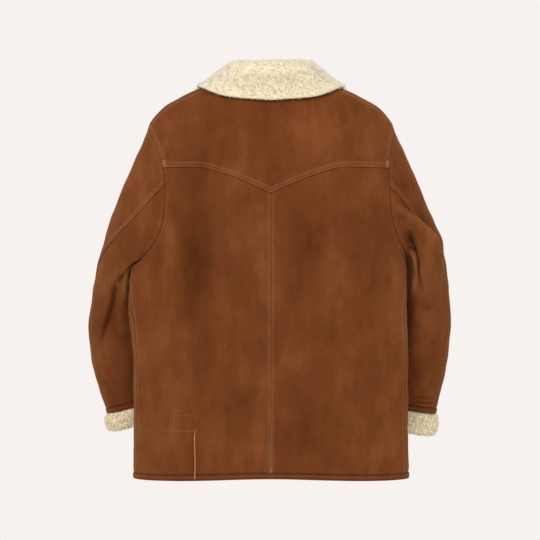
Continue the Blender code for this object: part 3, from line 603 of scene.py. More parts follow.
@dataclass(frozen=True)
class WoolFinish:
    """Clipped or curly wool: pale tips over a warmer ground, darker there as painted shade deep in the
    pile.
    """

    name: str
    root: Colour
    body: Colour
    tip: Colour
    curl: float
    relief: float = 1.0
    sheen: float = 0.35
    curl_depth: float = 0.0009
    fibre_depth: float = 0.0008

    def build(self) -> bpy.types.Material:
        """Makes the material.

        Returns:
            The material.
        """
        nodes = Nodes(self.name)
        clumps = nodes.noise(self.curl * 3.0, 3.0)
        curls = nodes.noise(self.curl, 3.0)
        value = nodes.weighted(0.0, ((clumps, 0.14), (curls, 0.12), (nodes.attribute("tip"), 1.0, 0.0)))
        stops = ((0.0, self.root), (0.45, self.body), (1.0, self.tip))
        coarse = nodes.bump(curls, self.curl_depth * self.relief)
        fine = nodes.bump(nodes.noise(self.curl * 0.3, 2.0), self.fibre_depth * self.relief, coarse)
        return nodes.finish(
            nodes.ramp(value, stops), fine, Roughness=0.95, Specular_IOR_Level=0.12,
            Sheen_Weight=self.sheen, Sheen_Roughness=0.6, Subsurface_Weight=0.12,
            Subsurface_Radius=(0.004, 0.003, 0.002), Subsurface_Scale=1.0,
        )


@dataclass(frozen=True)
class ThreadFinish:
    """Twisted sewing thread."""

    name: str
    dark: Colour
    light: Colour
    length: float = 0.012
    twist: float = 0.0006
    twist_depth: float = 0.0003

    def build(self) -> bpy.types.Material:
        """Makes the material.

        Returns:
            The material.
        """
        nodes = Nodes(self.name)
        colour = nodes.ramp(nodes.noise(self.length, 3.0), ((0.3, self.dark), (0.7, self.light)))
        twist = nodes.bump(nodes.noise(self.twist, 2.0), self.twist_depth)
        return nodes.finish(colour, twist, Roughness=0.7, Sheen_Weight=0.15)


@dataclass(frozen=True)
class HornFinish:
    """Polished dark horn with paler streaks."""

    name: str
    dark: Colour = (0.020, 0.008, 0.004)
    light: Colour = (0.140, 0.058, 0.022)
    streak: float = 0.006
    polish: float = 0.002
    polish_depth: float = 0.00008

    def build(self) -> bpy.types.Material:
        """Makes the material.

        Returns:
            The material.
        """
        nodes = Nodes(self.name)
        streaks = nodes.noise(self.streak, 6.0, (2.6, 1.0, 0.7))
        colour = nodes.ramp(streaks, ((0.35, self.dark), (0.62, self.light), (0.8, self.dark)))
        polish = nodes.bump(nodes.noise(self.polish, 3.0), self.polish_depth)
        return nodes.finish(colour, polish, Roughness=0.32, Coat_Weight=0.2)


@dataclass(frozen=True)
class FloorFinish:
    """A plain pale studio floor."""

    name: str = "studio_floor"
    colour: Colour = (0.86, 0.83, 0.81)

    def build(self) -> bpy.types.Material:
        """Makes the material.

        Returns:
            The material.
        """
        nodes = Nodes(self.name)
        tint = nodes.ramp(nodes.noise(0.4, 2.0), ((0.0, self.colour), (1.0, self.colour)))
        return nodes.finish(tint, Roughness=0.8)


@dataclass(frozen=True)
class Wardrobe:
    """Every finish of the coat, made once and handed to its pieces."""

    suede: SuedeFinish = SuedeFinish(
        "suede", (0.053, 0.0142, 0.0040), (0.125, 0.0357, 0.0103), (0.218, 0.0750, 0.0258)
    )
    suede_band: SuedeFinish = SuedeFinish(
        "suede_band", (0.048, 0.0121, 0.0036), (0.111, 0.0297, 0.0088), (0.189, 0.0603, 0.0205)
    )
    collar: WoolFinish = WoolFinish(
        "fleece_collar", (0.74, 0.605, 0.405), (0.80, 0.695, 0.50), (0.85, 0.77, 0.605), 0.0055, 0.15
    )
    cuff: WoolFinish = WoolFinish(
        "fleece_cuff", (0.80, 0.66, 0.41), (0.88, 0.79, 0.56), (0.93, 0.87, 0.70), 0.0065
    )
    lining: WoolFinish = WoolFinish(
        "wool_inside", (0.60, 0.48, 0.29), (0.80, 0.69, 0.47), (0.92, 0.84, 0.65), 0.0060
    )
    tack: ThreadFinish = ThreadFinish("tack_thread", (0.31, 0.125, 0.062), (0.42, 0.185, 0.098))
    thread: ThreadFinish = ThreadFinish("seam_thread", (0.215, 0.072, 0.026), (0.305, 0.115, 0.050))
    mend: ThreadFinish = ThreadFinish("mend_thread", (0.345, 0.096, 0.036), (0.47, 0.155, 0.064))
    horn: HornFinish = HornFinish("horn")


@dataclass
class Cloakroom:
    """The materials made from the wardrobe's finishes."""

    wardrobe: Wardrobe = Wardrobe()
    made: dict = field(default_factory=dict)

    def get(self, name: str) -> bpy.types.Material:
        """The material of a finish, made at its first use.

        Args:
            name: The finish's name in the wardrobe.

        Returns:
            The material.
        """
        if name not in self.made:
            self.made[name] = getattr(self.wardrobe, name).build()
        return self.made[name]


# ---------------------------------------------------------------------------------------------
# The coat's form


class Side(Enum):
    """A side of the wearer, with the sign of its X."""

    LEFT = 1.0
    RIGHT = -1.0


class Face(Enum):
    """The back or the front of the coat, with the sign of its Y."""

    BACK = 1.0
    FRONT = -1.0


@dataclass(frozen=True)
class Ring:
    """One level section of the filled-out body."""

    z: float
    half_width: float
    back: float
    front: float
    middle: float


@dataclass(frozen=True)
class Neck:
    """The neck edge's height at one turn."""

    turn: float
    z: float


@dataclass(frozen=True)
class Spot:
    """A soft oval place, seen from straight ahead or behind."""

    x: float
    z: float
    half_width: float
    half_height: float

    def share(self, points: Array) -> Array:
        """How strongly it acts on each point.

        Args:
            points: The points.

        Returns:
            Shares from 0 to 1.
        """
        across = (points[..., 0] - self.x) / self.half_width
        upward = (points[..., 2] - self.z) / self.half_height
        return np.exp(-(across**2) - upward**2)


@dataclass(frozen=True)
class Hollow(Spot):
    """A broad soft hollow of the back, or a swelling where its depth is negative."""

    depth: float


@dataclass(frozen=True)
class BodyForm:
    """The filled-out body as a stack of level rings, with its hem, neck and yoke lines."""

    rings: Table
    neckline: Table
    hollows: tuple
    hem_height: float = -0.781
    hem_back_rise: float = 0.007
    hem_back_reach: float = 30.0
    back_power: float = 2.4
    front_power: float = 2.0
    yoke_level: float = -0.169
    yoke_drop: float = 0.053
    yoke_reach: float = 0.145
    yoke_power: float = 1.35
    hollow_reach: float = 0.06

    def depths(self, z: Array) -> tuple:
        """The middle's Y at these heights, and the distances from it to the back and to the front."""
        middle = self.rings.read("middle", z)
        return middle, self.rings.read("back", z) - middle, middle - self.rings.read("front", z)

    def plain(self, turn: Array, z: Array) -> Array:
        """The body's surface without its soft hollows.

        Args:
            turn: Turns, in degrees.
            z: Heights.

        Returns:
            Its points.
        """
        sine, cosine = np.sin(np.radians(turn)), np.cos(np.radians(turn))
        sideways, backwards = superellipse(
            sine, cosine, np.where(cosine > 0, self.back_power, self.front_power)
        )
        middle, back, front = self.depths(z)
        x = self.rings.read("half_width", z) * sideways
        return np.stack([x, middle + np.where(cosine > 0, back, front) * backwards, z + 0 * x], axis=-1)

    def normal(self, turn: Array, z: Array) -> Array:
        """The outward direction of the body.

        Args:
            turn: Turns, in degrees.
            z: Heights.

        Returns:
            Directions of length one.
        """
        turn, z = np.broadcast_arrays(np.asarray(turn, float), np.asarray(z, float))
        round_it = self.plain(turn + 0.5, z) - self.plain(turn - 0.5, z)
        up_it = self.plain(turn, z + 0.001) - self.plain(turn, z - 0.001)
        return unit(np.cross(up_it, round_it))

    def surface(self, turn: Array, z: Array) -> Array:
        """The body's outer surface, with its hollows.

        Args:
            turn: Turns, in degrees.
            z: Heights.

        Returns:
            Its points.
        """
        points = self.plain(turn, z)
        depth = np.zeros(points.shape[:-1])
        for hollow in self.hollows:
            depth += hollow.depth * hollow.share(points)
        depth *= smoothstep(0.0, self.hollow_reach, points[..., 1])
        return points - self.normal(turn, z) * depth[..., None]

    def hem(self, turn: Array) -> Array:
        """The hem's height, which lifts a little at the centre back."""
        return self.hem_height + self.hem_back_rise * bell(np.asarray(turn), self.hem_back_reach)

    def neck(self, turn: Array) -> Array:
        """The neck edge's height."""
        return self.neckline.read("z", np.abs(turn))

    def yoke(self, x: Array) -> Array:
        """The yoke's lower edge: level by the armholes, with a point at the centre back."""
        short = np.clip(1 - np.abs(x) / self.yoke_reach, 0.0, 1.0)
        return self.yoke_level - self.yoke_drop * short**self.yoke_power

    def lifted_off(self, points: Array, least: Array, softness: float) -> Array:
        """Moves points that lie too near the body outwards, softly, until they clear it.

        Args:
            points: The points.
            least: The least distance from the body.
            softness: How soon the lift sets in.

        Returns:
            The moved points.
        """
        z = points[..., 2]
        middle, back, front = self.depths(z)
        y = points[..., 1] - middle
        across = points[..., 0] / self.rings.read("half_width", z)
        turn = np.degrees(np.arctan2(across, y / np.where(y > 0, back, front)))
        normal = self.normal(turn, z)
        away = np.sum((points - self.plain(turn, z)) * normal, axis=-1)
        lift = softness * np.logaddexp(0.0, (least - away) / softness)
        return points + normal * lift[..., None]


@dataclass(frozen=True)
class Armhole:
    """One armhole, as a superellipse in turn and height. Its clock is 0 at the top, 90 at the back."""

    top: float
    bottom: float
    top_turn: float
    bottom_turn: float
    back_reach: float
    front_reach: float
    upper_power: float
    under_power: float
    elbow: float

    def place(self, clock: Array) -> tuple:
        """A place on the armhole, as on the wearer's left.

        Args:
            clock: Clock angles, in degrees.

        Returns:
            Its turn and its height.
        """
        sine, cosine = np.sin(np.radians(clock)), np.cos(np.radians(clock))
        sideways, upwards = superellipse(
            sine, cosine, np.where((sine > 0) & (cosine < 0), self.under_power, self.upper_power)
        )
        lean, half_height = (self.top_turn - self.bottom_turn) / 2, (self.top - self.bottom) / 2
        reach = np.where(sine > 0, self.back_reach, self.front_reach)
        turn = (self.top_turn + self.bottom_turn) / 2 + lean * upwards - reach * sideways
        return turn, (self.top + self.bottom) / 2 + half_height * upwards

    def clock_at(self, level: float) -> float:
        """The clock angle at which the back of the armhole has this height.

        Args:
            level: The height.

        Returns:
            The clock angle, in degrees.
        """
        upward = (level - (self.top + self.bottom) / 2) / ((self.top - self.bottom) / 2)
        backward = (1 - upward**self.upper_power) ** (1 / self.upper_power)
        return math.degrees(math.atan2(backward, upward))


@dataclass(frozen=True)
class SleeveRow:
    """One section of a hanging sleeve, by its share of the way down."""

    along: float
    outer_x: float
    outer_z: float
    inner_x: float
    inner_z: float
    half_depth: float
    middle_y: float


@dataclass(frozen=True)
class ArmShift:
    """How far one arm's sections differ from the common ones."""

    along: float
    outer: float
    inner: float
    lift: float


@dataclass(frozen=True)
class SeamTurn:
    """Clock angles of a sleeve's two long seams at one place along it."""

    along: float
    elbow: float
    inner: float


@dataclass(frozen=True)
class SleeveHollow:
    """A large fold of a sleeve, by its clock angle and its share of the way down."""

    clock: float
    along: float
    half_clock: float
    half_along: float
    depth: float


@dataclass(frozen=True)
class Arm:
    """What belongs to one arm."""

    side: Side
    armhole: Armhole
    shift: Table
    seams: Table
    hollows: tuple
    fleece_height: float

    @property
    def label(self) -> str:
        """The arm's word in the names of its pieces."""
        return self.side.name.lower()

    @property
    def flip(self) -> Array:
        """Turns points of the wearer's left into this arm's."""
        return np.array([self.side.value, 1.0, 1.0])


@dataclass(frozen=True)
class SleeveForm:
    """One sleeve, worked out as on the wearer's left: an oval tube that grows from its armhole."""

    body: BodyForm
    rows: Table
    arm: Arm
    cells: int = 14
    blend: float = 0.45
    clearance: float = 0.004
    softness: float = 0.006
    clear_along: float = 0.16
    clear_under: float = 0.7
    ease_clock: float = 14.0
    ease_along: float = 0.06
    fairing_rounds: int = 4
    fairing_share: float = 0.5
    fairing_end: tuple = (0.25, 0.5)
    end_margin: float = 0.012
    clock_step: float = 2.0
    along_step: float = 0.01
    least_lean: float = 0.5

    def edges(self, along: Array) -> tuple:
        """The outermost and the innermost point of a section.

        Args:
            along: Shares of the way down the sleeve.

        Returns:
            The two points.
        """
        middle_y = self.rows.read("middle_y", along)
        outer_x = self.rows.read("outer_x", along) + self.arm.shift.read("outer", along)
        inner_x = self.rows.read("inner_x", along) + self.arm.shift.read("inner", along)
        inner_z = self.rows.read("inner_z", along) + self.arm.shift.read("lift", along)
        outer = np.stack([outer_x, middle_y, self.rows.read("outer_z", along)], axis=-1)
        return outer, np.stack([inner_x, middle_y, inner_z], axis=-1)

    def centre(self, along: Array) -> Array:
        """The middle of a section."""
        outer, inner = self.edges(along)
        return (outer + inner) / 2

    def section(self, clock: Array, along: Array) -> Array:
        """The free oval section, before it meets the armhole.

        Args:
            clock: Clock angles, in degrees.
            along: Shares of the way down the sleeve.

        Returns:
            Its points.
        """
        outer, inner = self.edges(along)
        angle = np.radians(clock)
        points = (outer + inner) / 2 + (outer - inner) / 2 * np.cos(angle)[..., None]
        points[..., 1] += self.rows.read("half_depth", along) * np.sin(angle)
        return points

    def seam(self, clock: Array) -> Array:
        """The armhole's points on the body, as on the wearer's left."""
        turn, z = self.arm.armhole.place(clock)
        return self.body.surface(turn * self.arm.side.value, z) * self.arm.flip

    def clear(self, points: Array, clock: Array, along: Array) -> Array:
        """Moves the lower side's points clear of the body, more so further down.

        Args:
            points: The sleeve's points.
            clock: Clock angles, in degrees.
            along: Shares of the way down the sleeve.

        Returns:
            The moved points.
        """
        under = smoothstep(0.0, self.clear_under, -np.cos(np.radians(clock)))
        share = smoothstep(0.0, self.clear_along, along) * under
        cleared = self.body.lifted_off(points, self.clearance * share, self.softness)
        return points + (cleared - points) * share[..., None]

    def surface(self, clock: Array, along: Array) -> Array:
        """The sleeve's outer surface.

        Args:
            clock: Clock angles, in degrees.
            along: Shares of the way down the sleeve.

        Returns:
            Its points.
        """
        clock, along = np.broadcast_arrays(np.asarray(clock, float), np.asarray(along, float))
        from_section = self.seam(clock) - self.section(clock, 0 * along)
        held = 1 - smoothstep(0.0, self.blend, along)[..., None]
        points = self.section(clock, along) + from_section * held
        inward = unit(self.centre(along) - points)
        for hollow in self.arm.hollows:
            turned = (np.mod(clock - hollow.clock + 180.0, 360.0) - 180.0) / hollow.half_clock
            slid = (along - hollow.along) / hollow.half_along
            points = points + inward * (hollow.depth * np.exp(-(turned**2) - slid**2))[..., None]
        return self.clear(points, clock, along)

    def slopes(self, clock: Array, along: Array) -> tuple:
        """The way out of the sleeve and the way down it.

        Args:
            clock: Clock angles, in degrees.
            along: Shares of the way down the sleeve.

        Returns:
            The outward direction, and a step down the sleeve.
        """
        at = np.clip(along, self.end_margin, 1 - self.end_margin)
        step, slide = self.clock_step, self.along_step
        round_it = self.surface(clock + step, at) - self.surface(clock - step, at)
        down_it = self.surface(clock, at + slide) - self.surface(clock, at - slide)
        return unit(np.cross(down_it, round_it)), down_it

    def wall_way(self, clock: Array, along: Array) -> Array:
        """The outward direction of the wall, evened out over the cells round it.

        Args:
            clock: Clock angles, in degrees.
            along: Shares of the way down the sleeve.

        Returns:
            Directions of length one.
        """
        clock, along = np.broadcast_arrays(clock, along)
        slope, down_it = self.slopes(clock, along)
        normal = slope * 2
        for turned, slid in ((self.ease_clock, 0.0), (-self.ease_clock, 0.0), (0.0, self.ease_along)):
            normal = normal + self.slopes(clock + turned, along + slid)[0]
        normal = unit(normal)
        body = self.body.normal(*self.arm.armhole.place(clock))
        falls = np.sum(down_it * body, axis=-1) < 0
        share = np.maximum(np.sum(body * normal, axis=-1, keepdims=True), self.least_lean)
        normal = np.where(((along == 0.0) & falls)[..., None], body / share, normal)
        spokes = unit(self.section(clock, along) - self.centre(along))
        return np.where(along[..., None] < 1.0, normal, spokes)

    def fair(self, grid: Array, share: Array) -> Array:
        """Draws a ring of points towards the mean of their neighbours.

        Args:
            grid: The ring, one row for each place down the sleeve.
            share: How far each row is drawn.

        Returns:
            The drawn ring.
        """
        ring = grid[:, :-1]
        for _ in range(self.fairing_rounds):
            around = np.roll(ring, 1, axis=1) + np.roll(ring, -1, axis=1)
            aim = (around[1:-1] + ring[2:] + ring[:-2]) / 4
            ring = ring.copy()
            ring[1:-1] += (aim - ring[1:-1]) * share[1:-1, None, None]
        return np.concatenate([ring, ring[:, :1]], axis=1)

    def walls(self, clock: Array) -> tuple:
        """The sleeve's two walls.

        Args:
            clock: Clock angles, one row for each cell down.

        Returns:
            The outer and the inner points.
        """
        along = np.linspace(0.0, 1.0, self.cells + 1)[:, None]
        easing = self.fairing_share * (1 - smoothstep(*self.fairing_end, along[:, 0]))
        outer = self.clear(self.fair(self.surface(clock, along), easing), clock, along)
        inner = self.fair(outer - self.wall_way(clock, along) * BODY_WALL, easing)
        return outer, inner


# ---------------------------------------------------------------------------------------------
# Seams, folds and panels


@dataclass(frozen=True)
class SeamRelief:
    """How the skin rises and dips beside a seam, by the distance from it, and its stitch rows."""

    raised: float
    width: float
    groove: float
    groove_width: float
    stitch_rows: tuple = ()
    rolled: float = 0.0
    dip: float = 0.00045
    dip_width: float = 0.0011
    fall: float = 0.0014
    roll_reach: float = 0.0022
    groove_tone: float = -0.22
    full_groove: float = 0.0012
    worn_tone: float = 0.09

    def height(self, distance: Array) -> Array:
        """The skin's height beside the seam.

        Args:
            distance: Distances from the seam.

        Returns:
            Heights above the plain skin.
        """
        band = self.raised * (1 - smoothstep(self.width, self.width + self.fall, distance))
        roll = self.rolled * (1 - np.sqrt(np.clip(distance / self.roll_reach, 0.0, 1.0)))
        height = band - roll - self.groove * bell(distance, self.groove_width)
        for row in self.stitch_rows:
            height = height - self.dip * bell(distance - row, self.dip_width)
        return height

    def tone(self, distance: Array) -> Array:
        """How much darker, below zero, or lighter the skin is beside the seam: painted shade in the
        groove, and wear on the raised band.

        Args:
            distance: Distances from the seam.

        Returns:
            The tones.
        """
        deep = min(1.0, self.groove / self.full_groove)
        # Painted shade in the seam's groove, full where the groove is deep.
        shade = self.groove_tone * bell(distance, self.groove_width) * deep
        near = 1 - smoothstep(self.width, self.width + 2 * self.fall, distance)
        return shade + self.worn_tone * near * (self.raised > 0)


class SeamKind(Enum):
    """The ways in which this coat's pieces are joined."""

    LAP_OVER = SeamRelief(0.0014, 0.0108, 0.0000, 0.0010, (0.0022, 0.0090), 0.0010)
    LAP_UNDER = SeamRelief(-0.0002, 0.0012, 0.0004, 0.0013)
    CENTRE = SeamRelief(0.0012, 0.0050, 0.0009, 0.0010, (0.0040,))
    SIDE = SeamRelief(0.0010, 0.0050, 0.0009, 0.0010, (0.0036,))
    ARMHOLE_OVER = SeamRelief(0.0006, 0.0098, 0.0006, 0.0010, (0.0028, 0.0086), 0.0002)
    ARMHOLE = SeamRelief(0.0004, 0.0040, 0.0012, 0.0014)
    SLEEVE_HEAD = SeamRelief(0.0004, 0.0060, 0.0010, 0.0013)
    SHOULDER_OVER = SeamRelief(0.0008, 0.0088, 0.0006, 0.0010, (0.0022, 0.0074), 0.0003)
    SHOULDER_UNDER = SeamRelief(-0.0003, 0.0012, 0.0008, 0.0011)
    ELBOW_OVER = SeamRelief(0.0012, 0.0082, 0.0008, 0.0010, (0.0020, 0.0070), 0.0004)
    ELBOW_UNDER = SeamRelief(-0.0002, 0.0012, 0.0008, 0.0011)
    INNER = SeamRelief(0.0003, 0.0040, 0.0016, 0.0015)
    HEM = SeamRelief(0.0000, 0.0030, 0.0009, 0.0016)
    CUFF = SeamRelief(0.0003, 0.0030, 0.0014, 0.0018)
    FRONT_EDGE = SeamRelief(0.0003, 0.0075, 0.0000, 0.0010, (0.0064,), 0.0016)


# Seams at which a panel meets a piece that doesn't share its folds, so the folds fade out there.
STILL_SEAMS = (SeamKind.ARMHOLE, SeamKind.ARMHOLE_OVER, SeamKind.SLEEVE_HEAD, SeamKind.HEM, SeamKind.CUFF)


class Edge(Enum):
    """A panel's edge: the axis that leaves it, and the end of that axis where it lies."""

    START_ROW = (0, 0)
    END_ROW = (0, -1)
    START_COLUMN = (1, 0)
    END_COLUMN = (1, -1)


@dataclass(frozen=True)
class Seam:
    """A stretch of one edge and how it is joined, from one cell's place to another's."""

    edge: Edge
    kind: SeamKind
    start: float = 0.0
    stop: float = 1e3


@dataclass(frozen=True)
class Fold:
    """A crease or ridge along a route in the X-Z plane, seen on the coat's back or front.

    Its two flanks may differ: left and right are as seen walking along the route, with +X to the
    right and +Z up. A negative depth raises it. One that goes around acts on both faces alike, and
    doesn't fade out at its ends.
    """

    route: tuple
    left: float
    right: float
    depth: float
    # Below zero, painted shade along a crease; above zero, painted light on a ridge or a shaded place.
    tone: float = 0.0
    face: Face = Face.BACK
    around: bool = False
    start_fade: float = 0.22
    end_fade: float = 0.30
    turned_away: float = -0.05
    turned_here: float = 0.30

    def shape(self, points: Array, normals: Array) -> Array:
        """How strongly the fold acts on each point, from 0 to 1.

        Args:
            points: Points of a wall.
            normals: Its outward directions.

        Returns:
            The share of the fold's depth.
        """
        knots = np.array(self.route, float)
        line = resampled(knots, 0, np.linspace(0.0, len(knots) - 1.0, 8 * len(knots)))
        at = points[..., [0, 2]].reshape(-1, 2)
        best = np.full(len(at), 1e9)
        side, share = np.zeros(len(at)), np.zeros(len(at))
        for number, (start, stop) in enumerate(zip(line[:-1], line[1:])):
            way = stop - start
            length = float(way @ way)
            t = np.clip((at - start) @ way / length, 0.0, 1.0)
            off = at - start - t[:, None] * way
            distance = np.hypot(off[:, 0], off[:, 1])
            nearer = distance < best
            best = np.where(nearer, distance, best)
            beside = way[0] * (at[:, 1] - start[1]) - way[1] * (at[:, 0] - start[0])
            side = np.where(nearer, beside, side)
            share = np.where(nearer, (number + t) / (len(line) - 1), share)
        width = np.where(side > 0, self.left, self.right)
        ends = smoothstep(-0.02, self.start_fade, share) * smoothstep(-0.02, self.end_fade, 1 - share)
        turned = normals[..., 1].reshape(-1) * self.face.value
        facing = smoothstep(self.turned_away, self.turned_here, turned)
        held = np.ones_like(best) if self.around else ends * facing
        return (bell(best, width) * held).reshape(points.shape[:-1])


@dataclass(frozen=True)
class Shade(Spot):
    """A soft patch painted darker, below zero, or lighter: painted shade in hollows and folds,
    painted light where the surface is lit more, and a few small dark smudges on the suede.
    """

    tone: float
    face: Face = Face.BACK

    def at(self, points: Array, normals: Array) -> Array:
        """The patch's part of the tone at each point."""
        facing = smoothstep(0.0, 0.5, normals[..., 1] * self.face.value)
        return self.tone * self.share(points) * facing


@dataclass(frozen=True)
class Cut:
    """A piece's flat cut: the rectangle that it comes from, and its own area."""

    width: float
    length: float
    area: float


def add_cloth(
    name: str, mesh: bpy.types.Mesh, slot: str, materials: Sequence, node: str,
) -> None:
    """Adds a cloth piece and hides the node that it replaces.

    Args:
        name: The piece's name.
        mesh: Its mesh.
        slot: The name of a material slot, passed on to add_piece.
        materials: Its materials, in the order of the mesh's material numbers.
        node: The node that it replaces.
    """
    piece = add_piece(name, mesh, slot, *materials)
    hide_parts(node)


@dataclass
class StitchLine:
    """A line on a panel for a row of stitches, with the skin's outward directions."""

    points: Array
    normals: Array


@dataclass
class Panel:
    """One cut piece as a closed wall, from grids of its outer and inner points."""

    name: str
    outer: Array
    inner: Array
    row_places: Array
    column_places: Array
    seams: tuple
    folds: tuple = ()
    shades: tuple = ()
    node: str = ""
    wave: float = 0.0009
    lean: Optional[Array] = None
    lean_reach: float = 0.009
    wave_size: float = 0.085
    fine_wave_size: float = 0.032
    fine_wave_share: float = 0.4
    wool_wave: float = 0.0008
    wool_wave_size: float = 0.016
    still_share: float = 0.15
    still_reach: float = 0.012
    trace_step: float = 0.0007
    wool_tip: float = 0.55

    def __post_init__(self) -> None:
        """Works out the skin and the wool side from the plain walls."""
        self.normals = unit(self.outer - self.inner)
        ways = self.ways()
        rise = self.wave * Ripple(seed=3, size=self.wave_size).at(self.outer)
        fine_wave = self.wave * self.fine_wave_share
        rise = rise + fine_wave * Ripple(seed=4, size=self.fine_wave_size).at(self.outer)
        # The tone gathers painted shade and painted light from the folds and the patches, painted shade in
        # the seams' grooves and wear on their raised bands.
        tone = np.zeros(self.outer.shape[:-1])
        for fold in self.folds:
            shape = fold.shape(self.outer, self.normals)
            rise = rise - fold.depth * shape
            tone = tone + fold.tone * shape
        for shade in self.shades:
            tone = tone + shade.at(self.outer, self.normals)
        relief = np.zeros_like(rise)
        near = np.full(rise.shape, 1.0)
        for seam in self.seams:
            distance = self.distance(seam)
            relief = relief + seam.kind.value.height(distance)
            tone = tone + seam.kind.value.tone(distance)
            if seam.kind in STILL_SEAMS:
                near = np.minimum(near, distance)
        calm = smoothstep(0.0, self.still_reach, near)
        wall = ways * (rise * (self.still_share + (1 - self.still_share) * calm))[..., None]
        self.tone = tone
        self.skin = self.outer + wall + ways * relief[..., None]
        wool = Ripple(seed=5, size=self.wool_wave_size).at(self.inner) * self.wool_wave * calm
        self.wool = self.inner + wall + self.normals * wool[..., None]

    def ways(self) -> Array:
        """The ways in which the walls rise: along the neighbour's normal where the first row joins it.

        Returns:
            Directions of length one.
        """
        if self.lean is None:
            return self.normals
        run = np.cumsum(np.linalg.norm(np.diff(self.outer, axis=0), axis=-1), axis=0)
        near = bell(np.concatenate([0 * run[:1], run]), self.lean_reach)[..., None]
        return unit(self.normals * (1 - near) + self.lean[None] * near)

    def across(self, grid: Array, edge: Edge) -> Array:
        """A grid turned so that its first axis leads away from the edge.

        Args:
            grid: The grid.
            edge: The edge.

        Returns:
            The turned grid.
        """
        axis, end = edge.value
        turned = np.moveaxis(grid, axis, 0)
        return turned if end == 0 else turned[::-1]

    def stretch(self, seam: Seam) -> Array:
        """Which points of the edge belong to the seam."""
        places = self.column_places if seam.edge.value[0] == 0 else self.row_places
        return (places >= seam.start - 1e-6) & (places <= seam.stop + 1e-6)

    def distance(self, seam: Seam) -> Array:
        """Each point's distance from the seam's line.

        Args:
            seam: The seam.

        Returns:
            The distances, laid out like the panel's points.
        """
        line = self.across(self.outer, seam.edge)[0][self.stretch(seam)]
        lengths = np.linalg.norm(np.diff(line, axis=0), axis=1)
        steps = np.maximum(np.ceil(lengths / self.trace_step).astype(int), 1)
        tree = KDTree(int(steps.sum()) + 1)
        number = 0
        for start, stop, count in zip(line[:-1], line[1:], steps):
            for t in np.arange(count) / count:
                tree.insert(start + (stop - start) * t, number)
                number += 1
        tree.insert(line[-1], number)
        tree.balance()
        flat = self.outer.reshape(-1, 3)
        return np.array([tree.find(point)[2] for point in flat]).reshape(self.outer.shape[:-1])

    def stitch_lines(self) -> list:
        """The lines of every stitch row of the panel's seams.

        Returns:
            The lines.
        """
        lines = []
        for seam in self.seams:
            if not seam.kind.value.stitch_rows:
                continue
            distance = self.across(self.distance(seam), seam.edge)[:, self.stretch(seam)]
            skin = self.across(self.skin, seam.edge)[:, self.stretch(seam)]
            normals = self.across(self.normals, seam.edge)[:, self.stretch(seam)]
            for row in seam.kind.value.stitch_rows:
                lines.append(self.line_at(distance, skin, normals, row))
        return lines

    def line_at(self, distance: Array, skin: Array, normals: Array, away: float) -> StitchLine:
        """The line on the skin at one distance from a seam.

        Args:
            distance: Distances from the seam, its first axis leading away from it.
            skin: The skin's points, laid out alike.
            normals: Their outward directions.
            away: The distance to find.

        Returns:
            The line.
        """
        beyond = distance >= away
        row = np.maximum(np.argmax(beyond, axis=0), 1)
        columns = np.arange(distance.shape[1])
        low, high = distance[row - 1, columns], distance[row, columns]
        t = np.clip((away - low) / np.maximum(high - low, 1e-9), 0.0, 1.0)[:, None]
        points = skin[row - 1, columns] * (1 - t) + skin[row, columns] * t
        found = beyond.any(axis=0)
        return StitchLine(points[found], normals[row, columns][found])

    def mesh(self) -> bpy.types.Mesh:
        """The closed wall, its skin with material 0 and its wool side with material 1.

        Returns:
            The mesh.
        """
        rows, columns = self.skin.shape[:2]
        count = rows * columns
        index, quads = grid_faces(rows, columns)
        rim = []
        for border in (index[0], index[:, -1], index[-1][::-1], index[:, 0][::-1]):
            a, b = border[:-1], border[1:]
            rim.append(np.stack([b, a, a + count, b + count], axis=-1))
        faces = np.concatenate([quads, quads[:, ::-1] + count] + rim)
        middle = rows // 2, columns // 2
        across = self.skin[middle[0], middle[1] + 1] - self.skin[middle]
        upward = self.skin[middle[0] + 1, middle[1]] - self.skin[middle]
        if np.cross(across, upward) @ self.normals[middle] < 0:
            faces = faces[:, ::-1]
        points = np.concatenate([self.skin.reshape(-1, 3), self.wool.reshape(-1, 3)])
        mesh = mesh_of(self.name, points, [faces])
        material = np.zeros(len(faces), np.int32)
        material[len(quads) : 2 * len(quads)] = 1
        mesh.polygons.foreach_set("material_index", material)
        mesh.set_sharp_from_angle(angle=CLOTH_EDGE_ANGLE)
        set_attribute(mesh, "tone", np.tile(self.tone.ravel(), 2))
        set_attribute(mesh, "tip", np.full(2 * count, self.wool_tip))
        return mesh

    def build(self, cloakroom: Cloakroom, cut: Cut, skin: str = "suede") -> None:
        """Adds the panel as a piece."""
        materials = cloakroom.get(skin), cloakroom.get("lining")
        add_cloth(self.name, self.mesh(), skin, materials, self.node)

    def tree(self) -> BVHTree:
        """The skin as a tree for finding places on it."""
        _, quads = grid_faces(*self.skin.shape[:2])
        return BVHTree.FromPolygons(self.skin.reshape(-1, 3).tolist(), quads.tolist())


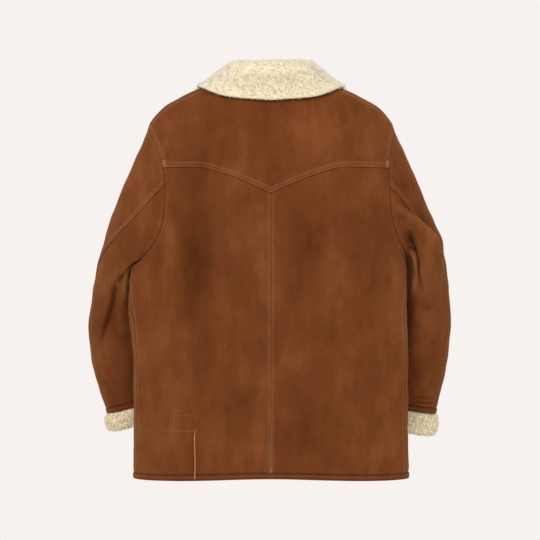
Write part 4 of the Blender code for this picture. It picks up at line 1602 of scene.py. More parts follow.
@dataclass
class Stitching:
    """Rows of stitches as one piece of thread: short capsules whose ends sink into the skin.

    The profile has a capsule's levels: the share of its length, the share of its height above the
    skin, and the share of its radius.
    """

    name: str
    finish: str = "thread"
    pitch: float = 0.0044
    length: float = 0.0037
    radius: float = 0.00047
    proud: float = 0.00035
    sides: int = 5
    uneven: tuple = (0.90, 1.08)
    wander: float = 0.00012
    slant: float = 0.05
    profile: tuple = (
        (-0.5, -0.9, 0.0), (-0.33, 0.25, 0.9), (0.0, 1.0, 1.0), (0.33, 0.25, 0.9), (0.5, -0.9, 0.0),
    )
    lines: list = field(default_factory=list)

    def add(self, lines: Iterable) -> None:
        """Takes more lines to sew along."""
        self.lines.extend(lines)

    def build(self, cloakroom: Cloakroom) -> None:
        """Adds the stitches as a piece.

        Args:
            cloakroom: Where the finishes come from.
        """
        draw = np.random.default_rng(len(self.name))
        centres, ways, ups = [], [], []
        for line in self.lines:
            places = even_run(line.points, self.pitch)
            centres.append(read_line(line.points, places))
            ways.append(unit(read_line(np.gradient(line.points, axis=0), places)))
            ups.append(unit(read_line(line.normals, places)))
        centre, way, up = (np.concatenate(part) for part in (centres, ways, ups))
        across = unit(np.cross(up, way))
        count = len(centre)
        length = self.length * draw.uniform(*self.uneven, count)
        centre = centre + across * (draw.normal(size=count) * self.wander)[:, None]
        way = unit(way + across * (draw.normal(size=count) * self.slant)[:, None])
        spoke = spokes_round(across, up, self.sides)
        rings = []
        for share, lift, girth in self.profile:
            middle = (centre + way * (length * share)[:, None] + up * self.proud * lift)[:, None]
            rings.append(middle if girth == 0.0 else middle + spoke * self.radius * girth)
        points = np.concatenate(rings, axis=1)
        loops = [repeated(faces, count, points.shape[1]) for faces in self.capsule(points.shape[1] - 1)]
        mesh = mesh_of(self.name, points.reshape(-1, 3), loops)
        add_piece(self.name, mesh, "thread", cloakroom.get(self.finish))

    def capsule(self, last: int) -> tuple:
        """The faces of one stitch.

        Args:
            last: The number of its end point.

        Returns:
            Its triangles and its four-sided faces.
        """
        tris, quads = [], []
        n = self.sides
        for k in range(n):
            after = (k + 1) % n
            tris.append((0, 1 + after, 1 + k))
            tris.append((last, 1 + 2 * n + k, 1 + 2 * n + after))
            for a in (1, 1 + n):
                quads.append((a + k, a + after, a + n + after, a + n + k))
        return tris, quads


@dataclass
class Pile:
    """Wool standing on a base mesh, as many short tapering locks in one piece.

    A bent lock has a second level between its root and its tip. One that isn't bent is a slender
    pyramid, shaded softly. Wisps is the share of the locks that are longer than the others. Lower
    and upper say of each half of a lock how far it follows the outward direction and the sway, and
    its share of the length. The depth shades are those of a lock's levels, from the root: darker
    towards the root as painted shade deep in the pile.
    """

    name: str
    finish: str
    count: int
    length: float
    thickness: float
    lean: float
    clump: float
    seed: int
    bent: bool = True
    wisps: float = 0.0
    uneven: tuple = (0.72, 1.15)
    wisp_length: float = 1.6
    stray: float = 0.35
    sunk: float = 0.0004
    taper: float = 0.85
    tip_spread: float = 0.10
    softness: float = 0.10
    lower: tuple = (1.0, 0.6, 0.55)
    upper: tuple = (0.75, 1.7, 0.5)
    bent_tones: tuple = (0.10, 0.62, 0.95)
    plain_tones: tuple = (0.42, 0.85)

    def roots(self, base: bpy.types.Mesh, shown: Callable, draw: np.random.Generator) -> tuple:
        """Draws the places of the locks.

        Args:
            base: The mesh that they stand on.
            shown: Gives each place's share of the wool, from its points and normals.
            draw: Where the random numbers come from.

        Returns:
            The places and the outward directions there.
        """
        base.calc_loop_triangles()
        count = len(base.loop_triangles)
        corners = np.empty(count * 3, np.int32)
        base.loop_triangles.foreach_get("vertices", corners)
        corners = corners.reshape(-1, 3)
        places, ways = vertex_values(base, "co"), vertex_values(base, "normal")
        a, b, c = (places[corners[:, k]] for k in range(3))
        area = np.linalg.norm(np.cross(b - a, c - a), axis=1) / 2
        weight = area * shown((a + b + c) / 3, unit(ways[corners].mean(axis=1)))
        face = corners[draw.choice(count, self.count, p=weight / weight.sum())]
        u, v = draw.random(self.count), draw.random(self.count)
        over = u + v > 1
        u, v = np.where(over, 1 - u, u), np.where(over, 1 - v, v)
        shares = np.stack([1 - u - v, u, v], axis=-1)[..., None]
        return (places[face] * shares).sum(axis=1), unit((ways[face] * shares).sum(axis=1))

    def build(self, base: bpy.types.Mesh, cloakroom: Cloakroom, shown: Callable) -> None:
        """Adds the wool as a piece.

        Args:
            base: The mesh that it stands on.
            cloakroom: Where its finish comes from.
            shown: Gives each place's share of the wool, from its points and normals.
        """
        draw = np.random.default_rng(self.seed)
        root, up = self.roots(base, shown, draw)
        sway = np.stack([Ripple(self.seed + k, self.clump).at(root) for k in range(3)], axis=-1)
        sway = sway * self.lean + draw.normal(size=(self.count, 3)) * self.lean * self.stray
        sway -= up * np.sum(sway * up, axis=-1, keepdims=True)
        length = (self.length * draw.uniform(*self.uneven, self.count))[:, None]
        if self.wisps > 0.0:
            longer = draw.random(self.count) < self.wisps
            length = length * np.where(longer, self.wisp_length, 1.0)[:, None]
        middle, tip = root, root
        for rise, swing, share in (self.lower, self.upper):
            middle, tip = tip, tip + unit(up * rise + sway * swing) * length * share
        first = unit(np.cross(up, draw.normal(size=(self.count, 3))))
        spoke = spokes_round(first, np.cross(up, first), 3)
        low = root[:, None] - up[:, None] * self.sunk + spoke * self.thickness
        own = draw.normal(size=self.count)[:, None] * self.tip_spread
        if self.bent:
            levels = [low, middle[:, None] + spoke * self.thickness * self.taper, tip[:, None]]
            quads, tris = ((0, 1, 4, 3), (1, 2, 5, 4), (2, 0, 3, 5)), ((3, 4, 6), (4, 5, 6), (5, 3, 6))
            loops = [repeated(quads, self.count, 7), repeated(tris, self.count, 7)]
            depth_shade = np.repeat(self.bent_tones, (3, 3, 1))[None]
        else:
            levels = [low, tip[:, None]]
            loops = [repeated(((0, 1, 3), (1, 2, 3), (2, 0, 3)), self.count, 4)]
            depth_shade = np.repeat(self.plain_tones, (3, 1))[None]
        mesh = mesh_of(self.name, np.concatenate(levels, axis=1).reshape(-1, 3), loops)
        if not self.bent:
            soft = unit(up + sway * self.softness + draw.normal(size=(self.count, 3)) * self.softness)
            mesh.normals_split_custom_set_from_vertices(np.repeat(soft, depth_shade.size, axis=0).tolist())
        # The tip attribute: painted shade towards the roots, plus each lock's own spread.
        set_attribute(mesh, "tip", np.clip(depth_shade + own, 0.0, 1.2))
        add_piece(self.name, mesh, "fleece", cloakroom.get(self.finish))


# ---------------------------------------------------------------------------------------------
# The sewn body


Stations = np.ndarray


def chart(turn: Array, z: Array) -> Stations:
    """Pairs of turn and height, one row a point."""
    turn, z = np.broadcast_arrays(np.asarray(turn, float), np.asarray(z, float))
    return np.stack([turn, z], axis=-1)


def joined(*routes: Array) -> Array:
    """Routes end to end, each joint written once."""
    return np.concatenate([routes[0]] + [route[1:] for route in routes[1:]])


def mirrored(stations: Stations) -> Stations:
    """The same stations on the other side of the body."""
    return stations * np.array([-1.0, 1.0])


def patch(bottom: Array, top: Array, first: Array, last: Array, rows: Optional[Array] = None) -> Array:
    """A grid blended between four edges.

    Args:
        bottom: Stations of its first row.
        top: Stations of its last row.
        first: Stations of its first column.
        last: Stations of its last column.
        rows: Shares of the way up of its rows, where they aren't even.

    Returns:
        The grid of stations.
    """
    u = np.linspace(0.0, 1.0, len(bottom))[None, :, None]
    v = (np.linspace(0.0, 1.0, len(first)) if rows is None else rows)[:, None, None]
    upward = (1 - v) * bottom[None] + v * top[None]
    across = (1 - u) * first[:, None] + u * last[:, None]
    corners = (1 - u) * ((1 - v) * bottom[0] + v * top[0]) + u * ((1 - v) * bottom[-1] + v * top[-1])
    return upward + across - corners


@dataclass(frozen=True)
class Pattern:
    """The cutting pattern of the body: where each piece's edges run on the form."""

    form: BodyForm
    left: Arm
    right: Arm
    side_turn: float = 70.0
    side_bend: float = 0.72
    lap_turn: float = 186.2
    ease_start: float = 161.0
    ease_end: float = 172.5
    shoulder_clock: float = 21.0
    shoulder_neck_turn: float = 46.0
    underarm_clock: float = 180.0
    side_cells: int = 11
    lower_armhole_cells: int = 7
    yoke_armhole_cells: int = 5
    front_armhole_cells: int = 9
    half_back_cells: int = 12
    shoulder_cells: int = 4
    wide_cells: int = 9
    placket_cells: int = 4
    inner_seam_cell: int = 2
    chart_metres: float = 0.0036
    evening_rounds: int = 600
    evening_step: float = 0.7
    yoke_rounds: int = 6

    def armhole(self, start: float, stop: float, cells: int, arm: Arm) -> Stations:
        """Stations round a stretch of an armhole."""
        return chart(*arm.armhole.place(np.linspace(start, stop, cells + 1)))

    def side(self, arm: Arm) -> Stations:
        """A side seam, from the hem to the underarm, where it runs forward a little.

        Args:
            arm: The arm on that side.

        Returns:
            Its stations.
        """
        under_turn, under_z = (float(value) for value in arm.armhole.place(self.underarm_clock))
        share = np.linspace(0.0, 1.0, self.side_cells + 1)
        turn = self.side_turn + (under_turn - self.side_turn) * smoothstep(self.side_bend, 1.0, share)
        low = float(self.form.hem(self.side_turn))
        return chart(turn, low + (under_z - low) * share)

    def yoke(self, arm: Arm) -> Stations:
        """The yoke seam from the centre back to an armhole.

        Args:
            arm: The arm on that side.

        Returns:
            Its stations.
        """
        end_turn = float(arm.armhole.place(arm.armhole.clock_at(self.form.yoke_level))[0])
        turns = np.linspace(0.0, end_turn, self.half_back_cells + 1)
        z = np.full_like(turns, self.form.yoke_level)
        for _ in range(self.yoke_rounds):
            z = self.form.yoke(self.form.plain(turns, z)[..., 0])
        return chart(turns, z)

    def shoulder(self, arm: Arm) -> Stations:
        """A shoulder seam, from the armhole to the neck, just behind the ridge.

        Args:
            arm: The arm on that side.

        Returns:
            Its stations.
        """
        end_turn, end_z = arm.armhole.place(self.shoulder_clock)
        neck_z = float(self.form.neck(self.shoulder_neck_turn))
        share = np.linspace(0.0, 1.0, self.shoulder_cells + 1)
        turn = end_turn + (self.shoulder_neck_turn - end_turn) * share
        return chart(turn, end_z + (neck_z - end_z) * share)

    def back_grid(self, arm: Arm) -> Stations:
        """The grid of one half of the back below the yoke, as on the wearer's left.

        Args:
            arm: The arm on that side.

        Returns:
            The grid.
        """
        yoke_end = arm.armhole.clock_at(self.form.yoke_level)
        edge = joined(
            self.side(arm),
            self.armhole(self.underarm_clock, arm.armhole.elbow, self.lower_armhole_cells, arm),
            self.armhole(arm.armhole.elbow, yoke_end, 1, arm),
        )
        yoke = self.yoke(arm)
        centre = chart(0.0, np.linspace(float(self.form.hem(0.0)), yoke[0, 1], len(edge)))
        turns = np.linspace(0.0, self.side_turn, self.half_back_cells + 1)
        return patch(chart(turns, self.form.hem(turns)), yoke, centre, edge)

    def yoke_neck_turns(self) -> Array:
        """Turns of the yoke's neck edge."""
        cells = 2 * (self.half_back_cells - self.shoulder_cells)
        return np.linspace(-self.shoulder_neck_turn, self.shoulder_neck_turn, cells + 1)

    def yoke_grid(self) -> Stations:
        """The grid of the yoke, from the wearer's right to the left.

        Returns:
            The grid.
        """
        sides = []
        for arm in (self.left, self.right):
            start = arm.armhole.clock_at(self.form.yoke_level)
            edge = self.armhole(start, self.shoulder_clock, self.yoke_armhole_cells, arm)
            sides.append((self.yoke(arm), self.shoulder(arm), edge))
        left_yoke, left_shoulder, left_edge = sides[0]
        right_yoke, right_shoulder, right_edge = (mirrored(route) for route in sides[1])
        turns = self.yoke_neck_turns()
        top = joined(right_shoulder, chart(turns, self.form.neck(turns)), left_shoulder[::-1])
        return patch(joined(right_yoke[::-1], left_yoke), top, right_edge, left_edge)

    def wide_turns(self, start: float) -> Array:
        """Turns of a front's columns up to its placket."""
        return np.linspace(start, self.ease_start, self.wide_cells + 1)

    def placket_turns(self) -> Array:
        """Turns of a front's last columns, which stand upright along the lapped edge.

        Returns:
            The turns.
        """
        ease = np.linspace(self.ease_start, self.ease_end, self.placket_cells // 2 + 1)
        lap = np.linspace(self.ease_end, self.lap_turn, self.placket_cells // 2 + 1)
        return np.concatenate([ease[1:], lap[1:]])

    def upright(self, turn: float, rows: Array) -> Stations:
        """A column of stations at one turn, from the hem to the neck edge."""
        low, high = float(self.form.hem(turn)), float(self.form.neck(turn))
        return chart(turn, low + (high - low) * rows)

    def evened(self, grid: Stations) -> Stations:
        """Moves a grid's inner points so that no cell folds over, by Winslow's equations.

        Args:
            grid: The grid.

        Returns:
            The evened grid.
        """
        points = grid * np.array([self.chart_metres, 1.0])
        for _ in range(self.evening_rounds):
            up, down = points[2:, 1:-1], points[:-2, 1:-1]
            right, left = points[1:-1, 2:], points[1:-1, :-2]
            upward, across = (up - down) / 2, (right - left) / 2
            rows = np.sum(upward**2, axis=-1, keepdims=True)
            columns = np.sum(across**2, axis=-1, keepdims=True)
            slant = np.sum(upward * across, axis=-1, keepdims=True)
            corners = points[2:, 2:] - points[2:, :-2] - points[:-2, 2:] + points[:-2, :-2]
            pull = rows * (right + left) + columns * (up + down) - slant * corners / 2
            aim = pull / (2 * (rows + columns))
            points[1:-1, 1:-1] += (aim - points[1:-1, 1:-1]) * self.evening_step
        return points / np.array([self.chart_metres, 1.0])

    def front_grid(self, arm: Arm) -> Stations:
        """The grid of one front, from its side seam to its lapped edge.

        Args:
            arm: The arm on that side.

        Returns:
            The grid.
        """
        full = 360.0 + self.shoulder_clock
        edge = joined(
            self.side(arm),
            self.armhole(self.underarm_clock, full, self.front_armhole_cells, arm),
            self.shoulder(arm),
        )
        by_height = (edge[:, 1] - edge[0, 1]) / (edge[-1, 1] - edge[0, 1])
        rows = (by_height + np.linspace(0.0, 1.0, len(edge))) / 2
        wide, neck = self.wide_turns(self.side_turn), self.wide_turns(self.shoulder_neck_turn)
        lap = self.upright(self.ease_start, rows)
        hem_edge, neck_edge = chart(wide, self.form.hem(wide)), chart(neck, self.form.neck(neck))
        grid = self.evened(patch(hem_edge, neck_edge, edge, lap, rows))
        placket = [self.upright(turn, rows) for turn in self.placket_turns()]
        return np.concatenate([grid, np.stack(placket, axis=1)], axis=1)

    def lap_sink(self, turn: Array) -> Array:
        """How far the front underneath is set in, under the other's lapped edge."""
        return (BODY_WALL + LAP_CLEARANCE) * smoothstep(self.ease_start, self.ease_end, np.abs(turn))

    def sleeve_clocks(self, arm: Arm, cells: int) -> tuple:
        """Clock angles row by row, from the elbow seam over the top and back under.

        Args:
            arm: The arm.
            cells: Number of cells down the sleeve.

        Returns:
            The grid of clock angles, and how many of its columns are the upper sleeve's.
        """
        hole = arm.armhole
        back = np.linspace(self.underarm_clock, hole.elbow, self.lower_armhole_cells + 1)
        yoke_end = hole.clock_at(self.form.yoke_level)
        yoke = np.linspace(yoke_end, self.shoulder_clock, self.yoke_armhole_cells + 1)
        front_end = 360.0 + self.shoulder_clock
        front = np.linspace(self.underarm_clock, front_end, self.front_armhole_cells + 1)
        inner_cell = self.inner_seam_cell
        start, stop = hole.elbow, front[inner_cell] - 360.0
        upper = np.concatenate([[start], yoke, front[inner_cell:-1][::-1] - 360.0])
        under = np.concatenate([front[1 : inner_cell + 1][::-1], back]) - 360.0
        along = np.linspace(0.0, 1.0, cells + 1)
        elbow, inner = arm.seams.read("elbow", along), arm.seams.read("inner", along)
        elbow, inner = (elbow - elbow[0] + start)[:, None], (inner - inner[0] + stop)[:, None]
        upper_share = (upper - start) / (stop - start)
        under_share = (under - stop) / (start - 360.0 - stop)
        over = elbow * (1 - upper_share) + inner * upper_share
        below = inner * (1 - under_share) + (elbow - 360.0) * under_share
        return np.concatenate([over, below[:, 1:]], axis=1), len(upper)


@dataclass(frozen=True)
class ArmholeEdge:
    """An edge column that follows an armhole: its clock angles at some of its row places."""

    arm: Arm
    column: int
    knots: tuple
    clocks: tuple


@dataclass
class Body:
    """The back, the yoke and the two fronts."""

    pattern: Pattern
    folds: tuple
    shades: tuple
    cuts: dict
    tack_start: float = 0.0015
    tack_height: float = 0.0130
    tack_turns: int = 8
    tack_reach: tuple = (0.0026, 0.0082)
    hug_cells: float = 1.6
    panels: dict = field(default_factory=dict)

    def hugged(self, fine: Stations, rows: Array, columns: Array, hug: ArmholeEdge) -> Stations:
        """The grid with one edge laid exactly on its armhole, and its neighbours moved along.

        Args:
            fine: The fine grid of stations.
            rows: Its row places.
            columns: Its column places.
            hug: Which edge follows the armhole, and where.

        Returns:
            The corrected grid.
        """
        inside = (rows >= hug.knots[0]) & (rows <= hug.knots[-1])
        turn, z = hug.arm.armhole.place(np.interp(rows[inside], hug.knots, hug.clocks))
        exact = chart(turn * hug.arm.side.value, z)
        shift = np.zeros((len(rows), 1, 2))
        shift[inside, 0] = exact - fine[inside, hug.column]
        away = np.abs(columns - columns[hug.column])
        return fine + shift * (1 - smoothstep(0.0, self.hug_cells, away))[None, :, None]

    def place(
        self, grid: Stations, rows: tuple, columns: tuple, hugs: Sequence[ArmholeEdge], sink: bool = False
    ) -> tuple:
        """The outer and inner points of a panel.

        Args:
            grid: The coarse grid of stations.
            rows: The fine row places, and the rows at which an edge turns a corner.
            columns: The same for the columns.
            hugs: The edges that follow an armhole.
            sink: Whether the panel's lapped edge is set in.

        Returns:
            Its outer and its inner points.
        """
        form = self.pattern.form
        fine = resampled(resampled(grid, 0, rows[0], rows[1]), 1, columns[0], columns[1])
        for hug in hugs:
            fine = self.hugged(fine, rows[0], columns[0], hug)
        turn, z = fine[..., 0], fine[..., 1]
        normal = form.normal(turn, z)
        outer = form.surface(turn, z)
        if sink:
            outer = outer - normal * self.pattern.lap_sink(turn)[..., None]
        outer = parted(outer)
        return outer, outer - normal * BODY_WALL

    def cut_back(self, arm: Arm) -> Panel:
        """One half of the back.

        Args:
            arm: The arm on that side.

        Returns:
            Its panel.
        """
        pattern = self.pattern
        corner = pattern.side_cells
        cells = corner + pattern.lower_armhole_cells + 1
        rows = fine_places([6] * corner + [5] * (cells - corner), first=0.036, last=0.024)
        columns = fine_places([5] * pattern.half_back_cells, first=0.024, last=0.020)
        grid = pattern.back_grid(arm) * np.array([arm.side.value, 1.0])
        yoke_end = arm.armhole.clock_at(pattern.form.yoke_level)
        clocks = (pattern.underarm_clock, arm.armhole.elbow, yoke_end)
        hug = ArmholeEdge(arm, -1, (corner, cells - 1, cells), clocks)
        outer, inner = self.place(grid, (rows, (corner, cells)), (columns, ()), (hug,))
        seams = (
            Seam(Edge.START_ROW, SeamKind.HEM),
            Seam(Edge.END_ROW, SeamKind.LAP_UNDER),
            Seam(Edge.START_COLUMN, SeamKind.CENTRE),
            Seam(Edge.END_COLUMN, SeamKind.SIDE, 0.0, corner),
            Seam(Edge.END_COLUMN, SeamKind.ARMHOLE, corner, cells),
        )
        name = f"back_{arm.label}"
        return Panel(name + "_skin", outer, inner, rows, columns, seams, self.folds, self.shades, name)

    def cut_yoke(self) -> Panel:
        """The yoke over both shoulder blades.

        Returns:
            Its panel.
        """
        pattern = self.pattern
        cells, corner = 2 * pattern.half_back_cells, pattern.shoulder_cells
        rows = fine_places([7] * pattern.yoke_armhole_cells, first=0.036, last=0.036)
        columns = fine_places([4] * cells, first=0.020, last=0.020)
        breaks = (corner, pattern.half_back_cells, cells - corner)
        hugs = []
        for arm, column in ((pattern.left, -1), (pattern.right, 0)):
            clocks = (arm.armhole.clock_at(pattern.form.yoke_level), pattern.shoulder_clock)
            hugs.append(ArmholeEdge(arm, column, (0, pattern.yoke_armhole_cells), clocks))
        outer, inner = self.place(pattern.yoke_grid(), (rows, ()), (columns, breaks), hugs)
        seams = (
            Seam(Edge.START_ROW, SeamKind.LAP_OVER),
            Seam(Edge.START_COLUMN, SeamKind.ARMHOLE_OVER),
            Seam(Edge.END_COLUMN, SeamKind.ARMHOLE_OVER),
            Seam(Edge.END_ROW, SeamKind.SHOULDER_OVER, 0.0, corner),
            Seam(Edge.END_ROW, SeamKind.SHOULDER_OVER, cells - corner, cells),
        )
        name = "back_yoke"
        return Panel(name + "_skin", outer, inner, rows, columns, seams, self.folds, self.shades, name)

    def cut_front(self, arm: Arm) -> Panel:
        """One front.

        Args:
            arm: The arm on that side.

        Returns:
            Its panel.
        """
        pattern = self.pattern
        under, over = pattern.side_cells, pattern.side_cells + pattern.front_armhole_cells
        cells = over + pattern.shoulder_cells
        steps = [6] * under + [4] * (over - under) + [5] * (cells - over)
        rows = fine_places(steps, first=0.036, last=0.040)
        steps = [5] * pattern.wide_cells + [3] * pattern.placket_cells
        columns = fine_places(steps, first=0.036, last=0.016)
        grid = pattern.front_grid(arm) * np.array([arm.side.value, 1.0])
        sunk = arm.side is Side.RIGHT
        clocks = (pattern.underarm_clock, 360.0 + pattern.shoulder_clock)
        hug = ArmholeEdge(arm, 0, (under, over), clocks)
        turns_at = (columns, (pattern.wide_cells,))
        outer, inner = self.place(grid, (rows, (under, over)), turns_at, (hug,), sunk)
        seams = (
            Seam(Edge.START_ROW, SeamKind.HEM),
            Seam(Edge.START_COLUMN, SeamKind.SIDE, 0.0, under),
            Seam(Edge.START_COLUMN, SeamKind.ARMHOLE_OVER, under, over),
            Seam(Edge.START_COLUMN, SeamKind.SHOULDER_UNDER, over, cells),
            Seam(Edge.END_COLUMN, SeamKind.FRONT_EDGE),
        )
        name = f"front_{arm.label}"
        return Panel(name + "_skin", outer, inner, rows, columns, seams, self.folds, self.shades, name)

    def build(self, cloakroom: Cloakroom) -> None:
        """Adds the body's panels and their stitches.

        Args:
            cloakroom: Where the finishes come from.
        """
        pattern = self.pattern
        stitches = Stitching("body_stitches")
        for panel in (
            self.cut_back(pattern.left),
            self.cut_back(pattern.right),
            self.cut_yoke(),
            self.cut_front(pattern.left),
            self.cut_front(pattern.right),
        ):
            self.panels[panel.node] = panel
            panel.build(cloakroom, self.cuts[panel.node])
            stitches.add(panel.stitch_lines())
        stitches.build(cloakroom)
        tacks = Stitching(
            "yoke_tacks", "tack", pitch=0.0029, length=0.0033, radius=0.0006, proud=0.0005
        )
        tacks.add(self.tack_lines(self.panels["back_yoke"]))
        tacks.build(cloakroom)

    def tack_lines(self, yoke: Panel) -> list:
        """Short lines to and fro across both ends of the yoke's lower seam, by the armholes.

        Args:
            yoke: The yoke's panel.

        Returns:
            The lines of the two bar tacks.
        """
        lines = []
        rise = self.tack_height / self.tack_turns
        for edge in (Edge.START_COLUMN, Edge.END_COLUMN):
            seam = Seam(edge, SeamKind.ARMHOLE_OVER)
            distance = yoke.across(yoke.distance(seam), edge)
            skin, normals = yoke.across(yoke.skin, edge), yoke.across(yoke.normals, edge)
            near, far = (yoke.line_at(distance, skin, normals, away) for away in self.tack_reach)
            run = run_along(near.points)
            steps = np.arange(len(run))
            for turn in range(self.tack_turns):
                heights = [self.tack_start + rise * turn, self.tack_start + rise * (turn + 1)]
                low, high = np.interp(heights, run, steps)
                ends = ((near, low), (far, high)) if turn % 2 == 0 else ((far, low), (near, high))
                places = [read_line(line.points, np.array([at]))[0] for line, at in ends]
                lines.append(StitchLine(np.array(places), np.array([near.normals[0], near.normals[0]])))
        return lines


def parted(points: Array, gap: float = SEAM_GAP / 2) -> Array:
    """The grid with its four edges moved inwards along the surface, to part it at its seams.

    Args:
        points: The grid of points.
        gap: How far each edge moves.

    Returns:
        The parted grid.
    """
    moved = points.copy()
    for axis, end, beside in ((0, 0, 1), (0, -1, -2), (1, 0, 1), (1, -1, -2)):
        edge = np.take(points, end, axis=axis)
        inward = np.take(points, beside, axis=axis) - edge
        along = unit(np.gradient(edge, axis=0))
        inward = unit(inward - along * np.sum(inward * along, axis=-1, keepdims=True))
        if axis == 0:
            moved[end] += inward * gap
        else:
            moved[:, end] += inward * gap
    return moved


@dataclass
class Sleeve:
    """The upper and the under sleeve of one arm."""

    form: SleeveForm
    pattern: Pattern
    folds: tuple
    shades: tuple
    cuts: dict
    held_cells: float = 1.2
    long_cells: int = 9

    def grids(self, rows: Array, columns: Array) -> tuple:
        """The sleeve's fine outer and inner ring, as on the wearer's left.

        Args:
            rows: Fine places down the sleeve.
            columns: Fine places round it, from the elbow seam.

        Returns:
            The outer and the inner points.
        """
        clock, _ = self.pattern.sleeve_clocks(self.form.arm, self.form.cells)
        outer, inner = self.form.walls(clock)
        fine = []
        for wall in (outer, inner):
            ring = np.concatenate([wall[:, -4:-1], wall, wall[:, 1:4]], axis=1)
            fine.append(resampled(resampled(ring, 0, rows), 1, columns + 3.0))
        exact = self.form.seam(np.interp(columns, np.arange(clock.shape[1]), clock[0]))
        held = (1 - smoothstep(0.0, self.held_cells, rows))[:, None, None]
        shift = (exact - fine[0][0])[None] * held
        return fine[0] + shift, fine[1] + shift

    def build(self, cloakroom: Cloakroom) -> None:
        """Adds the two panels and their stitches.

        Args:
            cloakroom: Where the finishes come from.
        """
        clock, upper = self.pattern.sleeve_clocks(self.form.arm, self.form.cells)
        ring_cells = clock.shape[1] - 1
        steps = [16] * self.long_cells + [8] * (self.form.cells - self.long_cells)
        rows = fine_places(steps, first=0.036, last=0.040)
        label = self.form.arm.label
        stitches = Stitching(f"sleeve_stitches_{label}")
        upper_steps = [10] * 6 + [4] * (upper - 7)
        under_steps = [5] * 2 + [9] * (ring_cells - upper - 1)
        layout = (
            ("upper", 0, upper_steps, (SeamKind.ELBOW_OVER, SeamKind.INNER)),
            ("under", upper - 1, under_steps, (SeamKind.INNER, SeamKind.ELBOW_UNDER)),
        )
        for part, start, steps, kinds in layout:
            columns = fine_places(steps, first=0.020, last=0.018)
            outer, inner = self.grids(rows, columns + start)
            outer = parted(outer)
            seams = (
                Seam(Edge.START_ROW, SeamKind.SLEEVE_HEAD),
                Seam(Edge.END_ROW, SeamKind.CUFF),
                Seam(Edge.START_COLUMN, kinds[0]),
                Seam(Edge.END_COLUMN, kinds[1]),
            )
            flip = self.form.arm.flip
            head = np.interp(columns + start, np.arange(ring_cells + 1), clock[0])
            lean = self.form.body.normal(*self.form.arm.armhole.place(head)) * flip
            node = f"sleeve_{part}_{label}"
            panel = Panel(
                node + "_skin", outer * flip, inner * flip, rows, columns, seams, self.folds, self.shades,
                node, lean=lean,
            )
            panel.build(cloakroom, self.cuts[node])
            stitches.add(panel.stitch_lines())
        stitches.build(cloakroom)


@dataclass(frozen=True)
class CuffRound:
    """One level of a ring at the sleeve's end."""

    share: float
    swell: float
    wall: float


